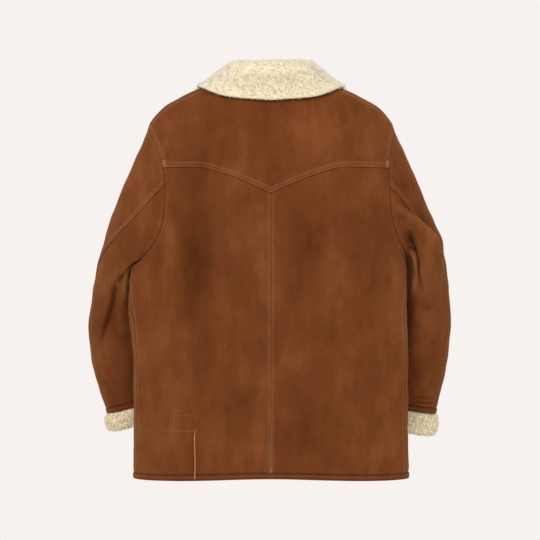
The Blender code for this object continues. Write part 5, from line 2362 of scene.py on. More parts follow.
@dataclass
class Cuff:
    """The suede band round a sleeve's end and the turned fleece below it."""

    form: SleeveForm
    cuts: dict
    band_height: float = 0.012
    fleece_wall: float = 0.012
    lean: float = -0.12
    pile: float = 0.0042
    around: int = 120
    fleece_levels: int = 21
    pile_room: float = 0.8
    inner_inset: float = 0.3
    row_level: float = 0.5
    row_dip: float = 0.0007
    row_width: float = 0.10
    top_roll: float = 0.0016
    top_width: float = 0.07
    band_wave: float = 0.0007
    band_wave_size: float = 0.030
    lump: float = 0.0009
    inner_lump: float = 0.0007
    lump_size: float = 0.011
    band_tone: float = -0.05
    # The ground under the wool is darker: painted shade beneath the locks.
    base_tip: float = 0.18
    band_levels: tuple = (0.0, 0.05, 0.12, 0.22, 0.36, 0.5, 0.64, 0.78, 0.88, 0.95, 1.0)
    band_rounds: Table = Table((
        CuffRound(0.0, 0.0, 1.0),
        CuffRound(0.2, 0.0016, 1.2),
        CuffRound(0.8, 0.0016, 1.2),
        CuffRound(1.0, 0.0, 1.0),
    ))
    fleece_rounds: Table = Table((
        CuffRound(0.00, -0.001, 0.75),
        CuffRound(0.10, 0.006, 1.20),
        CuffRound(0.40, 0.011, 1.45),
        CuffRound(0.75, 0.011, 1.40),
        CuffRound(0.94, 0.006, 0.90),
        CuffRound(1.00, -0.002, 0.25),
    ))

    def rings(
        self, start: float, height: float, wall: float, rounds: Table, levels: Array, inset: float
    ) -> tuple:
        """The outer and inner rings of points of a cuff piece.

        Args:
            start: How far below the sleeve's end it starts.
            height: Its height.
            wall: Its wall.
            rounds: Its swell and wall by level.
            levels: The shares of its height at which it has a ring.
            inset: How far both faces lie inside the full form, to leave room for wool.

        Returns:
            The outer points, the inner points and the spokes.
        """
        clock = np.linspace(0.0, 360.0, self.around + 1)[:-1]
        last = np.ones_like(clock)
        end = self.form.surface(clock, last)
        spokes = unit(self.form.section(clock, last) - self.form.centre(last))
        outermost, innermost = self.form.edges(np.array(1.0))
        down = unit(np.array([innermost[2] - outermost[2], 0.0, outermost[0] - innermost[0]]) * -1)
        down = unit(down + np.array([0.0, self.lean, 0.0]))
        outer, inner = [], []
        for share in levels:
            level = end + down * (start + height * share)
            swell = float(rounds.read("swell", share))
            thick = wall * float(rounds.read("wall", share))
            outer.append(level + spokes * (swell - inset))
            inner.append(level + spokes * (swell - thick + min(inset, thick * self.inner_inset)))
        flip = self.form.arm.flip
        return np.array(outer) * flip, np.array(inner) * flip, spokes * flip

    def closed(self, name: str, outer: Array, inner: Array, tone: float) -> bpy.types.Mesh:
        """A closed ring between two stacks of points.

        Args:
            name: The mesh's name.
            outer: The outer points, one row a level.
            inner: The inner points, laid out alike.
            tone: Its tone throughout.

        Returns:
            The mesh.
        """
        rows, columns = outer.shape[:2]
        count = rows * columns
        index, quads = grid_faces(rows, columns, closed=True)
        rims = []
        for border in (index[0], index[-1][::-1]):
            a, b = border[:-1], border[1:]
            rims.append(np.stack([b, a, a + count, b + count], axis=-1))
        faces = np.concatenate([quads, quads[:, ::-1] + count] + rims)
        mesh = mesh_of(name, np.concatenate([outer.reshape(-1, 3), inner.reshape(-1, 3)]), [faces])
        build = bmesh.new()
        build.from_mesh(mesh)
        bmesh.ops.recalc_face_normals(build, faces=build.faces)
        build.to_mesh(mesh)
        build.free()
        mesh.set_sharp_from_angle(angle=CLOTH_EDGE_ANGLE)
        set_attribute(mesh, "tone", np.full(2 * count, tone))
        set_attribute(mesh, "tip", np.full(2 * count, self.base_tip))
        return mesh

    def build_band(self, cloakroom: Cloakroom) -> None:
        """Adds the band and its row of stitches.

        Args:
            cloakroom: Where the finishes come from.
        """
        label = self.form.arm.label
        levels = np.array(self.band_levels)
        outer, inner, spokes = self.rings(
            SEAM_GAP, self.band_height, BODY_WALL, self.band_rounds, levels, 0.0
        )
        dip = self.row_dip * bell(levels - self.row_level, self.row_width)
        dip = dip + self.top_roll * bell(levels, self.top_width)
        outer = outer - spokes[None] * dip[:, None, None]
        waves = Ripple(seed=8, size=self.band_wave_size).at(outer) * self.band_wave
        outer = outer + spokes[None] * waves[..., None]
        add_cloth(
            f"cuff_band_{label}_skin", self.closed("cuff_band", outer, inner, self.band_tone), "suede_band",
            (cloakroom.get("suede_band"),), f"cuff_band_{label}",
        )
        stitches = Stitching(f"cuff_stitches_{label}")
        row = self.band_levels.index(self.row_level)
        loop = np.concatenate([outer[row], outer[row][:1]])
        stitches.add([StitchLine(loop, np.concatenate([spokes, spokes[:1]]))])
        stitches.build(cloakroom)

    def build(self, cloakroom: Cloakroom) -> None:
        """Adds the band with its stitches, and the fleece with its wool.

        Args:
            cloakroom: Where the finishes come from.
        """
        self.build_band(cloakroom)
        label = self.form.arm.label
        outer, inner, _ = self.rings(
            2 * SEAM_GAP + self.band_height, self.form.arm.fleece_height - self.pile, self.fleece_wall,
            self.fleece_rounds, 0.5 - 0.5 * np.cos(np.linspace(0.0, np.pi, self.fleece_levels)),
            self.pile * self.pile_room,
        )
        lumps = Ripple(seed=9, size=self.lump_size)
        outer = outer + unit(outer - inner) * (lumps.at(outer) * self.lump)[..., None]
        inner = inner - unit(outer - inner) * (lumps.at(inner) * self.inner_lump)[..., None]
        base = self.closed("cuff_fleece", outer, inner, 0.0)
        node = f"cuff_fleece_{label}"
        add_cloth(node + "_base", base, "fleece", (cloakroom.get("cuff"),), node)
        wool = Pile(
            f"cuff_wool_{label}", "cuff", count=8500, length=0.0046, thickness=0.00056, lean=0.75,
            clump=0.0075, seed=40,
        )
        wool.build(base, cloakroom, lambda points, normals: np.ones(len(points)))


@dataclass
class Hem:
    """The turned band below the body's hem."""

    pattern: Pattern
    cuts: dict
    height: float = 0.0115
    levels: tuple = (0.0, 0.06, 0.14, 0.25, 0.40, 0.55, 0.70, 0.82, 0.90, 0.96, 1.0)
    row: int = 4
    row_dip: float = 0.0005
    row_width: float = 0.08
    swell: float = 0.0012
    top_roll: float = 0.0010
    top_width: float = 0.07
    top_tone: float = -0.25
    top_tone_width: float = 0.06
    wave: float = 0.0005
    back_points: int = 170
    side_points: int = 100
    lap_points: int = 28

    def band(self, name: str, turns: Array, sunk: bool) -> Panel:
        """One length of the band.

        Args:
            name: The node that it stands for.
            turns: Turns along it.
            sunk: Whether its lapped end is set in.

        Returns:
            The band as a panel.
        """
        form = self.pattern.form
        z = form.hem(turns)
        normal = form.normal(turns, z)
        sink = self.pattern.lap_sink(turns) if sunk else np.zeros_like(turns)
        shares = np.array(self.levels)
        swell = self.swell * np.sqrt(np.clip(np.sin(np.pi * shares), 0.0, 1.0))
        swell = swell - self.top_roll * bell(shares, self.top_width)
        swell = swell - self.row_dip * bell(shares - self.levels[self.row], self.row_width)
        outer = []
        for share, rise in zip(shares, swell):
            level = form.surface(turns, z - SEAM_GAP - self.height * share)
            outer.append(level + normal * (rise - sink)[:, None])
        outer = np.array(outer)
        along = unit(np.gradient(outer, axis=1))
        outer[:, 0] += along[:, 0] * SEAM_GAP / 2
        outer[:, -1] -= along[:, -1] * SEAM_GAP / 2
        inner = outer - normal * (BODY_WALL + swell[:, None, None])
        places = np.arange(len(turns), dtype=float)
        return Panel(name + "_skin", outer, inner, shares, places, (), (), (), name, self.wave)

    def build(self, cloakroom: Cloakroom) -> None:
        """Adds the three lengths and their stitches.

        Args:
            cloakroom: Where the finishes come from.
        """
        pattern = self.pattern
        side = pattern.side_turn
        lap = np.linspace(pattern.ease_start, pattern.lap_turn, self.lap_points)
        front = np.concatenate([np.linspace(side, pattern.ease_start, self.side_points), lap[1:]])
        stitches = Stitching("hem_stitches")
        lengths = (
            ("hem_band_back", np.linspace(-side, side, self.back_points), False),
            ("hem_band_left", front, False),
            ("hem_band_right", -front, True),
        )
        for name, turns, sunk in lengths:
            panel = self.band(name, turns, sunk)
            # Painted shade along the band's top, just under the hem seam.
            shade = self.top_tone * bell(np.array(self.levels), self.top_tone_width)
            panel.tone = panel.tone + shade[:, None]
            panel.build(cloakroom, self.cuts[name], "suede_band")
            stitches.add([StitchLine(panel.skin[self.row], panel.normals[self.row])])
        stitches.build(cloakroom)


# ---------------------------------------------------------------------------------------------
# Collar, buttons and mend


@dataclass(frozen=True)
class CollarRow:
    """The collar's section at one turn: its stand's height, its fold and its lower edge."""

    turn: float
    rise: float
    spread: float
    edge_turn: float
    edge_z: float


@dataclass
class Collar:
    """The fleece collar, from one front to the other round the back of the neck."""

    pattern: Pattern
    rows: Table
    cuts: dict
    wall: float = 0.014
    tilt: float = 0.08
    cells: int = 44
    profile_cells: int = 12
    pile: float = 0.0034
    fine_cells: int = 210
    fine_profile: int = 46
    profile_points: int = 200
    turn_points: int = 240
    flattens: tuple = (100.0, 150.0)
    stand_inset: float = 0.0015
    stand_lift: float = 0.0024
    waist: float = 0.55
    inner_bow: float = 0.002
    outer_bow: float = 0.003
    falls: tuple = (0.10, 0.32)
    body_share: float = 0.75
    body_gap: float = 0.001
    free_depth: float = 0.03
    crowding: float = 0.4
    thin_edge: float = 0.12
    thin_stand: float = 0.5
    # The ground under the wool is darker: painted shade beneath the locks.
    base_tip: float = 0.4
    neck_centre: tuple = (0.0, 0.012, 0.0)
    hidden_share: float = 0.35
    fall_softness: float = 0.0008
    edge_roll: float = 0.013
    stand_roll: float = 0.004
    end_roll: float = 0.010
    end_step: float = 0.003
    edge_pull: float = 0.6
    lump: float = 0.0006
    lump_size: float = 0.030
    fine_lump: float = 0.0003
    fine_lump_size: float = 0.012

    def neck_edge(self, turn: float) -> Array:
        """A point of the neck edge, on the straight cells between the panels' own points.

        Args:
            turn: The turn, in degrees.

        Returns:
            The point.
        """
        pattern = self.pattern
        wide = pattern.wide_turns(pattern.shoulder_neck_turn)
        front = np.concatenate([wide[1:], pattern.placket_turns()])
        turns = np.concatenate([-front[::-1], pattern.yoke_neck_turns(), front])
        points = pattern.form.surface(turns, pattern.form.neck(turns))
        return read_line(points, turn, turns)

    def middle(self, turn: float) -> Array:
        """The middle surface across one section: stand, fold, then the fall over the yoke.

        Args:
            turn: The section's turn, in degrees.

        Returns:
            Evenly spaced points, from the stand to the lower edge.
        """
        form = self.pattern.form
        size, sign = abs(turn), math.copysign(1.0, turn)
        neck_z = float(form.neck(size))
        base = self.neck_edge(turn)
        normal = form.normal(turn, neck_z)
        ahead = form.surface(turn + sign, form.neck(size + 1.0))
        behind = form.surface(turn - sign, form.neck(abs(size - 1.0)))
        away = unit(np.cross(ahead - behind, normal))
        away = away if away[2] > 0 else -away
        flat = float(smoothstep(*self.flattens, size))
        rise_way = unit(np.array([0.0, 0.0, 1.0]) * (1 - flat) + away * flat)
        outward = unit(normal - rise_way * np.dot(normal, rise_way))
        names = [entry.name for entry in fields(CollarRow)][1:]
        rise, spread, edge_turn, edge_z = (float(self.rows.read(name, size)) for name in names)
        rise *= 1 - self.tilt * math.sin(math.radians(turn))
        stand = base - outward * self.stand_inset + rise_way * self.stand_lift
        inside = base + rise_way * rise * self.waist - outward * self.inner_bow
        fold = base + rise_way * rise + outward * spread
        shoulder = base + rise_way * rise * self.waist + outward * (2 * spread + self.outer_bow)
        edge = form.surface(edge_turn * sign, edge_z)
        route = np.array([stand, inside, fold, shoulder, (shoulder + edge) / 2, edge])
        return self.through(route)

    def through(self, points: Array) -> Array:
        """Evenly spaced points on a cubic through these, with the mean slope at each.

        Args:
            points: The points.

        Returns:
            The evenly spaced points.
        """
        knots = run_along(points)
        at = np.linspace(0.0, knots[-1], self.profile_points)
        slope = np.gradient(points, knots, axis=0)
        cell = np.clip(np.searchsorted(knots, at, side="right") - 1, 0, len(knots) - 2)
        step = (knots[cell + 1] - knots[cell])[:, None]
        t = (at - knots[cell])[:, None] / step
        curve = cubic(points[cell], slope[cell] * step, points[cell + 1], slope[cell + 1] * step, t)
        run = run_along(curve)
        return read_line(curve, np.linspace(0.0, run[-1], self.profile_cells + 1), run)

    def turns(self) -> Array:
        """Turns that are evenly spaced along the neck edge.

        Returns:
            The turns.
        """
        form = self.pattern.form
        last = self.rows.rows[-1].turn
        fine = np.linspace(-last, last, self.turn_points)
        points = form.plain(fine, form.neck(fine))
        run = run_along(points)
        return np.interp(np.linspace(0.0, run[-1], self.cells + 1), run, fine)

    def faces(self) -> tuple:
        """The collar's outer and under face, drawn in to leave room for the wool.

        Returns:
            The outer and the under points.
        """
        half = self.wall / 2
        middle = np.array([self.middle(turn) for turn in self.turns()])
        fall = smoothstep(*self.falls, np.linspace(0.0, 1.0, self.profile_cells + 1))
        least = (half * self.body_share + self.body_gap) * fall - (1 - fall) * self.free_depth
        middle = self.pattern.form.lifted_off(middle, least, self.fall_softness)
        along = np.linspace(0.0, self.cells, self.fine_cells + 1)
        turned = np.linspace(0.0, 1.0, self.fine_profile + 1)
        across = turned - self.crowding * np.sin(2 * np.pi * turned) / (2 * np.pi)
        across = self.profile_cells * across
        fine = resampled(resampled(middle, 0, along), 1, np.clip(across, 0.0, self.profile_cells))
        normal = unit(np.cross(np.gradient(fine, axis=0), np.gradient(fine, axis=1)))
        run = np.cumsum(np.linalg.norm(np.diff(fine, axis=1), axis=-1), axis=1)
        run = np.concatenate([np.zeros((len(fine), 1)), run], axis=1)
        to_edge = np.clip((run[:, -1:] - run) / self.edge_roll, 0.0, 1.0)
        to_stand = np.clip(run / self.stand_roll, 0.0, 1.0)
        ends = np.minimum(np.arange(len(fine)), np.arange(len(fine))[::-1]) * self.end_step
        to_end = np.clip(ends / self.end_roll, 0.0, 1.0)[:, None]
        rolled = [np.sqrt(np.maximum(1 - (1 - t) ** 2, 0.0)) for t in (to_edge, to_stand, to_end)]
        thick = (half - self.pile) * (self.thin_edge + (1 - self.thin_edge) * rolled[0] * rolled[2])
        thick = thick * (self.thin_stand + (1 - self.thin_stand) * rolled[1])
        lumps = Ripple(seed=6, size=self.lump_size).at(fine) * self.lump
        lumps = lumps + Ripple(seed=7, size=self.fine_lump_size).at(fine) * self.fine_lump
        pull = unit(fine[:, -1] - fine[:, -3]) * -self.pile * self.edge_pull
        fine = fine + pull[:, None] * (1 - to_edge)[..., None]
        outer = fine + normal * (thick + lumps)[..., None]
        return outer, fine - normal * (thick - lumps * 0.5)[..., None]

    def build(self, cloakroom: Cloakroom) -> None:
        """Adds the collar's base and its wool.

        Args:
            cloakroom: Where the finishes come from.
        """
        outer, under = self.faces()
        rows, columns = (np.arange(count, dtype=float) for count in outer.shape[:2])
        wall = Panel("collar_base", outer, under, rows, columns, (), wave=0.0, wool_tip=self.base_tip)
        wall.skin, wall.wool = outer, under
        mesh = wall.mesh()
        mesh.polygons.foreach_set("material_index", np.zeros(len(mesh.polygons), np.int32))
        add_cloth(
            "collar_base", mesh, "fleece", (cloakroom.get("collar"),), "collar",
        )
        wool = Pile(
            "collar_wool", "collar", count=50000, length=0.0031, thickness=0.00060, lean=0.20,
            clump=0.0060, seed=30, bent=False, wisps=0.12,
        )
        wool.build(mesh, cloakroom, self.shown)

    def shown(self, points: Array, normals: Array) -> Array:
        """More wool on the faces that show than on the one that lies against the coat.

        Args:
            points: Places on the collar.
            normals: Outward directions there.

        Returns:
            Each place's share of the wool.
        """
        outward = unit((points - np.array(self.neck_centre)) * np.array([1.0, 1.0, 0.0]))
        facing = np.sum(outward * normals, axis=-1) + normals[:, 2]
        return self.hidden_share + (1 - self.hidden_share) * smoothstep(-0.4, 0.4, facing)


@dataclass
class Buttons:
    """Four horn buttons down the lapped edge, sewn on through four holes, and their buttonholes.

    The profile goes from the middle of the top over the rim to the middle of the underside, in
    shares of the radius and of the thickness. The slit's two ends are counted from the button's rim.
    """

    form: BodyForm
    panel: Panel
    heights: tuple = (-0.16, -0.30, -0.44, -0.58)
    radius: float = 0.014
    thickness: float = 0.0055
    hole_radius: float = 0.0011
    hole_offset: float = 0.0028 / 1.4
    lift: float = 0.0002
    thread_level: float = 0.66
    slit: tuple = (-0.005, 0.0085)
    slit_pitch: float = 0.00085
    slit_gap: float = 0.0003
    slit_stitch: float = 0.0026
    around: int = 56
    profile: tuple = (
        (0.0, 0.62), (0.30, 0.62), (0.46, 0.66), (0.56, 0.80), (0.66, 0.95), (0.76, 1.0), (0.86, 0.97),
        (0.94, 0.84), (0.985, 0.64), (1.0, 0.42), (0.98, 0.22), (0.90, 0.06), (0.80, 0.0), (0.0, 0.0),
    )

    def blank(self) -> bpy.types.Mesh:
        """One turned button with a rim, a dished middle and four holes through it.

        Returns:
            Its mesh.
        """
        around = self.around
        angle = np.arange(around) * 2 * math.pi / around
        points = [(0.0, 0.0, self.profile[0][1] * self.thickness)]
        for out, up in self.profile[1:-1]:
            radius, height = out * self.radius, up * self.thickness
            points.extend((radius * math.cos(way), radius * math.sin(way), height) for way in angle)
        points.append((0.0, 0.0, 0.0))
        build = bmesh.new()
        verts = [build.verts.new(point) for point in points]
        levels = len(self.profile) - 2
        for k in range(around):
            n = (k + 1) % around
            build.faces.new((verts[0], verts[1 + k], verts[1 + n]))
            for level in range(levels - 1):
                a, b = 1 + level * around, 1 + (level + 1) * around
                build.faces.new((verts[a + k], verts[b + k], verts[b + n], verts[a + n]))
            last = 1 + (levels - 1) * around
            build.faces.new((verts[last + k], verts[-1], verts[last + n]))
        bmesh.ops.recalc_face_normals(build, faces=build.faces)
        return self.drilled(mesh_from(build, "button_blank"))

    def drilled(self, mesh: bpy.types.Mesh) -> bpy.types.Mesh:
        """The blank with its four holes cut through.

        Args:
            mesh: The blank.

        Returns:
            The drilled mesh.
        """
        blank = bpy.data.objects.new("button_blank", mesh)
        bpy.context.scene.collection.objects.link(blank)
        build = bmesh.new()
        for x in (-self.hole_offset, self.hole_offset):
            for y in (-self.hole_offset, self.hole_offset):
                made = bmesh.ops.create_cone(
                    build, cap_ends=True, segments=16, radius1=self.hole_radius, radius2=self.hole_radius,
                    depth=self.thickness * 4,
                )
                bmesh.ops.translate(build, verts=made["verts"], vec=(x, y, 0))
        drill = bpy.data.objects.new("button_drill", mesh_from(build, "button_drill"))
        bpy.context.scene.collection.objects.link(drill)
        cut = blank.modifiers.new("holes", "BOOLEAN")
        cut.object = drill
        cut.operation = "DIFFERENCE"
        graph = bpy.context.evaluated_depsgraph_get()
        made = bpy.data.meshes.new_from_object(blank.evaluated_get(graph))
        bpy.data.objects.remove(blank)
        bpy.data.objects.remove(drill)
        made.name = "button"
        made.shade_smooth()
        made.set_sharp_from_angle(angle=math.radians(35.0))
        return made

    def build(self, cloakroom: Cloakroom) -> None:
        """Adds the buttons, the thread that holds them and the stitched buttonholes.

        Args:
            cloakroom: Where the finishes come from.
        """
        blank = self.blank()
        tree = self.panel.tree()
        thread = Stitching(
            "button_thread", "thread", pitch=0.0040, length=0.0052, radius=0.00055, proud=0.0003
        )
        holes = Stitching(
            "buttonhole_stitches", "thread", pitch=0.0009, length=0.0024, radius=0.00036, proud=0.0003
        )
        for number, height in enumerate(self.heights, start=1):
            place = np.array(180.0), np.array(height)
            normal = self.form.normal(*place)
            seat = self.form.surface(*place) + normal * (SEAM_GAP + self.lift)
            across = np.array([1.0, 0.0, 0.0])
            upward = np.cross(normal, across)
            mesh = blank.copy()
            moved = vertex_values(mesh, "co") @ np.stack([across, upward, normal]) + seat
            mesh.vertices.foreach_set("co", moved.astype(np.float32).ravel())
            button = add_piece(f"button_{number}_horn", mesh, "horn", cloakroom.get("horn"))
            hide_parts(f"button_{number}")
            top = seat + normal * self.thickness * self.thread_level
            for slant in (-self.hole_offset, self.hole_offset):
                reach = across * slant + upward * self.hole_offset
                thread.add([StitchLine(np.array([top - reach, top + reach]), np.array([normal, normal]))])
            holes.add(self.hole_lines(tree, seat, upward))
        thread.build(cloakroom)
        holes.build(cloakroom)

    def hole_lines(self, tree: BVHTree, seat: Array, upward: Array) -> list:
        """Short stitches side by side round one buttonhole's slit, beyond the button's rim.

        Args:
            tree: The outer front's skin.
            seat: Where the button sits.
            upward: The button's own upward direction.

        Returns:
            One line for each stitch.
        """
        lines = []
        for step in np.arange(*self.slit, self.slit_pitch):
            for side in (-1.0, 1.0):
                ahead = np.array([self.radius + step, -0.02, 0.0])
                start = seat + ahead + upward * side * self.slit_gap
                stop = start + upward * side * self.slit_stitch
                ends, ways = [], []
                for point in (start, (start + stop) / 2, stop):
                    place, way, _, _ = tree.ray_cast(Vector(point), Vector((0.0, 1.0, 0.0)), 0.08)
                    if place is None:
                        break
                    ends.append(np.array(place))
                    ways.append(np.array(way) if way.y < 0 else -np.array(way))
                if len(ends) == 3:
                    lines.append(StitchLine(np.array(ends), np.array(ways)))
        return lines


@dataclass
class Mend:
    """The repair on the left back: a sewn rectangle, a small ring and a whipped welt to the hem."""

    form: BodyForm
    panel: Panel
    left: float = 0.1985
    right: float = 0.1480
    top: float = -0.6615
    bottom: float = -0.6925
    second_row: float = 0.0075
    welt_x: float = 0.1505
    welt_top: float = -0.694
    welt_bottom: float = -0.7875
    welt_radius: float = 0.0014
    ring_radius: float = 0.0025
    ring_aside: float = 0.0005
    ring_stretch: float = 1.2
    bars: tuple = ((0.004, 0.006), (0.009, 0.011))
    line_step: float = 0.002
    welt_points: int = 90
    welt_sides: int = 14
    welt_wander: float = 0.0005
    band_step: float = 0.0014
    beads: int = 26
    bead_depth: float = 0.16
    twists: int = 21
    twist_depth: float = 0.22
    welt_end: float = 0.012

    def on_skin(self, tree: BVHTree, xs: Array, zs: Array) -> StitchLine:
        """The places on the left back behind these X and Z.

        Args:
            tree: The left back's skin.
            xs: The X values.
            zs: The heights.

        Returns:
            The places as a line for stitches.
        """
        points, ways = [], []
        for x, z in zip(xs, zs):
            place, way, _, _ = tree.ray_cast(Vector((x, 0.3, z)), Vector((0.0, -1.0, 0.0)), 0.6)
            points.append(np.array(place))
            ways.append(np.array(way) if way.y > 0 else -np.array(way))
        return StitchLine(np.array(points), np.array(ways))

    def build(self, cloakroom: Cloakroom) -> None:
        """Adds the rectangle's stitches, the ring and the welt.

        Args:
            cloakroom: Where the finishes come from.
        """
        tree = self.panel.tree()
        inset = self.left - self.second_row
        corners = (
            ((self.left, self.top), (self.right, self.top)),
            ((self.right, self.top), (self.right, self.bottom)),
            ((self.right, self.bottom), (self.left, self.bottom)),
            ((self.left, self.bottom), (self.left, self.top)),
            ((inset, self.top), (inset, self.bottom)),
            *(((self.left, self.top - start), (inset, self.top - stop)) for start, stop in self.bars),
        )
        sewn = Stitching(
            "mend_stitches", "thread", pitch=0.0036, length=0.0033, radius=0.00036, proud=0.00025
        )
        for (x1, z1), (x2, z2) in corners:
            count = max(4, round(math.hypot(x2 - x1, z2 - z1) / self.line_step))
            sewn.add([self.on_skin(tree, np.linspace(x1, x2, count), np.linspace(z1, z2, count))])
        angle = np.linspace(0.0, 2 * math.pi, 25)
        centre_x, centre_z = self.welt_x + self.ring_aside, self.welt_top + self.ring_radius
        circle_x = centre_x + self.ring_radius * np.cos(angle)
        circle_z = centre_z + self.ring_radius * self.ring_stretch * np.sin(angle)
        ring = Stitching(
            "mend_ring", "mend", pitch=0.0014, length=0.0021, radius=0.00052, proud=0.0006
        )
        ring.add([self.on_skin(tree, circle_x, circle_z)])
        sewn.build(cloakroom)
        ring.build(cloakroom)
        self.build_welt(tree, cloakroom)

    def build_welt(self, tree: BVHTree, cloakroom: Cloakroom) -> None:
        """Adds the welt: a cord over the closed slit, whipped with slanting turns of thread.

        Args:
            tree: The left back's skin.
            cloakroom: Where the finishes come from.
        """
        zs = np.linspace(self.welt_top, self.welt_bottom, self.welt_points)
        wander = self.welt_wander * np.sin(np.linspace(0.0, 7.0, self.welt_points))
        above_hem = np.maximum(zs, self.form.hem_height + 0.0045)
        line = self.on_skin(tree, self.welt_x + wander, above_hem)
        spine = line.points.copy()
        spine[:, 2] = zs
        over_band = self.band_step * smoothstep(self.form.hem_height + 0.004, self.form.hem_height, zs)
        spine = spine + line.normals * (self.welt_radius * 0.5 + over_band)[:, None]
        way = unit(np.gradient(spine, axis=0))
        across = unit(np.cross(line.normals, way))
        sides = self.welt_sides
        angle = np.arange(sides) * 2 * math.pi / sides
        run = np.linspace(0.0, 1.0, len(spine))
        swell = 1.0 + self.bead_depth * np.sin(run * 2 * math.pi * self.beads)[:, None]
        twist = 1.0 + self.twist_depth * np.sin(run[:, None] * 2 * math.pi * self.twists + angle[None] * 2)
        within = np.clip(run, self.welt_end, 1 - self.welt_end)
        taper = np.sqrt(np.clip(np.sin(np.pi * within) * 4.0, 0.0, 1.0))[:, None]
        girth = (self.welt_radius * 0.86 * taper * (swell + twist) / 2)[..., None]
        rings = spine[:, None] + spokes_round(across, line.normals, sides) * girth
        count = len(spine) * sides
        index, quads = grid_faces(len(spine), sides, closed=True)
        quads = np.roll(quads[:, ::-1], 1, axis=1)
        points = np.concatenate([rings.reshape(-1, 3), spine[:1], spine[-1:]])
        caps = [
            np.stack([np.full(sides, count), index[0, :-1], index[0, 1:]], axis=-1),
            np.stack([np.full(sides, count + 1), index[-1, 1:], index[-1, :-1]], axis=-1),
        ]
        mesh = mesh_of("mend_welt_cord", points, [quads, np.concatenate(caps)])
        piece = add_piece("mend_welt_cord", mesh, "thread", cloakroom.get("mend"))
        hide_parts("mend_welt")


@dataclass(frozen=True)
class Studio:
    """The camera, the pale floor and the soft lights."""

    camera_place: tuple = (0.002, 3.07, -0.373)
    lens: float = 100.0
    sensor: float = 36.0
    floor_z: float = -1.60
    floor_radius: float = 3.6
    pale: tuple = (0.930, 0.888, 0.863)
    dim: tuple = (1.0, 0.985, 0.965)
    dim_strength: float = 0.80
    aim: tuple = (0.0, 0.0, -0.35)
    warm_light: tuple = (1.0, 0.985, 0.96)
    soft_light: tuple = (1.0, 0.99, 0.975)

    def lamp(self, name: str, place: tuple, size: float, power: float, colour: tuple) -> None:
        """Adds one soft box that faces the coat's middle.

        Args:
            name: The lamp's name.
            place: Where it stands.
            size: Its width.
            power: Its power in watts.
            colour: Its colour.
        """
        data = bpy.data.lights.new(name, "AREA")
        data.shape = "DISK"
        data.size = size
        data.energy = power
        data.color = colour
        lamp = bpy.data.objects.new(name, data)
        lamp.location = place
        aim = Vector(self.aim) - Vector(place)
        lamp.rotation_euler = aim.to_track_quat("-Z", "Y").to_euler()
        bpy.context.scene.collection.objects.link(lamp)

    def sky(self) -> None:
        """Sets the pale surround, which lights the coat more softly than it shows."""
        world = bpy.data.worlds.new("studio_surround")
        world.use_nodes = True
        tree = world.node_tree
        shown = tree.nodes["Background"]
        shown.inputs["Color"].default_value = (*self.pale, 1.0)
        shown.inputs["Strength"].default_value = 1.0
        dim = tree.nodes.new("ShaderNodeBackground")
        dim.inputs["Color"].default_value = (*self.dim, 1.0)
        dim.inputs["Strength"].default_value = self.dim_strength
        path = tree.nodes.new("ShaderNodeLightPath")
        mix = tree.nodes.new("ShaderNodeMixShader")
        tree.links.new(path.outputs["Is Camera Ray"], mix.inputs["Fac"])
        tree.links.new(dim.outputs["Background"], mix.inputs[1])
        tree.links.new(shown.outputs["Background"], mix.inputs[2])
        tree.links.new(mix.outputs["Shader"], tree.nodes["World Output"].inputs["Surface"])
        bpy.context.scene.world = world

    def build(self) -> None:
        """Adds the camera, the floor, the lights and the surround."""
        scene = bpy.context.scene
        scene.view_settings.view_transform = "Standard"
        data = bpy.data.cameras.new("studio_camera")
        data.lens = self.lens
        data.sensor_width = self.sensor
        camera = bpy.data.objects.new("studio_camera", data)
        camera.location = self.camera_place
        camera.rotation_euler = (math.pi / 2, 0.0, math.pi)
        scene.collection.objects.link(camera)
        scene.camera = camera
        build = bmesh.new()
        bmesh.ops.create_circle(build, cap_ends=True, segments=96, radius=self.floor_radius)
        mesh = mesh_from(build, "studio_floor")
        mesh.materials.append(FloorFinish().build())
        floor = bpy.data.objects.new("studio_floor", mesh)
        floor.location = (0.0, 0.0, self.floor_z)
        scene.collection.objects.link(floor)
        self.sky()
        for face in Face:
            sign, word = face.value, face.name.lower()
            self.lamp(f"key_{word}", (1.4 * sign, 2.6 * sign, 2.1), 1.6, 78.0, self.warm_light)
            self.lamp(f"fill_{word}", (-2.3 * sign, 2.4 * sign, 0.8), 2.0, 26.0, self.soft_light)


# ---------------------------------------------------------------------------------------------
# This coat's sizes


BODY_RINGS = Table((
    Ring(-0.820, 0.2785, 0.112, -0.126, 0.028),
    Ring(-0.660, 0.2780, 0.113, -0.123, 0.030),
    Ring(-0.500, 0.2765, 0.113, -0.122, 0.030),
    Ring(-0.400, 0.2745, 0.114, -0.122, 0.030),
    Ring(-0.330, 0.2720, 0.115, -0.122, 0.030),
    Ring(-0.240, 0.2660, 0.114, -0.121, 0.026),
    Ring(-0.150, 0.2580, 0.110, -0.116, 0.022),
    Ring(-0.0800, 0.2476, 0.1040, -0.106, 0.018),
    Ring(-0.0436, 0.2186, 0.0980, -0.094, 0.016),
    Ring(-0.0273, 0.1911, 0.0930, -0.086, 0.015),
    Ring(-0.0111, 0.1606, 0.0875, -0.077, 0.014),
    Ring(-0.0050, 0.1430, 0.0845, -0.073, 0.013),
    Ring(0.0030, 0.1210, 0.0805, -0.067, 0.012),
    Ring(0.0130, 0.0980, 0.0750, -0.060, 0.012),
    Ring(0.0225, 0.0800, 0.0690, -0.053, 0.012),
    Ring(0.0300, 0.0700, 0.0640, -0.046, 0.012),
))
NECKLINE = Table((
    Neck(0.0, 0.0100),
    Neck(30.0, 0.0130),
    Neck(60.0, 0.0205),
    Neck(90.0, 0.0245),
    Neck(110.0, 0.0180),
    Neck(125.0, 0.0103),
    Neck(140.0, -0.0016),
    Neck(150.0, -0.0139),
    Neck(160.0, -0.0436),
    Neck(166.0, -0.0780),
    Neck(172.0, -0.1040),
    Neck(180.0, -0.1180),
    Neck(190.0, -0.1220),
))
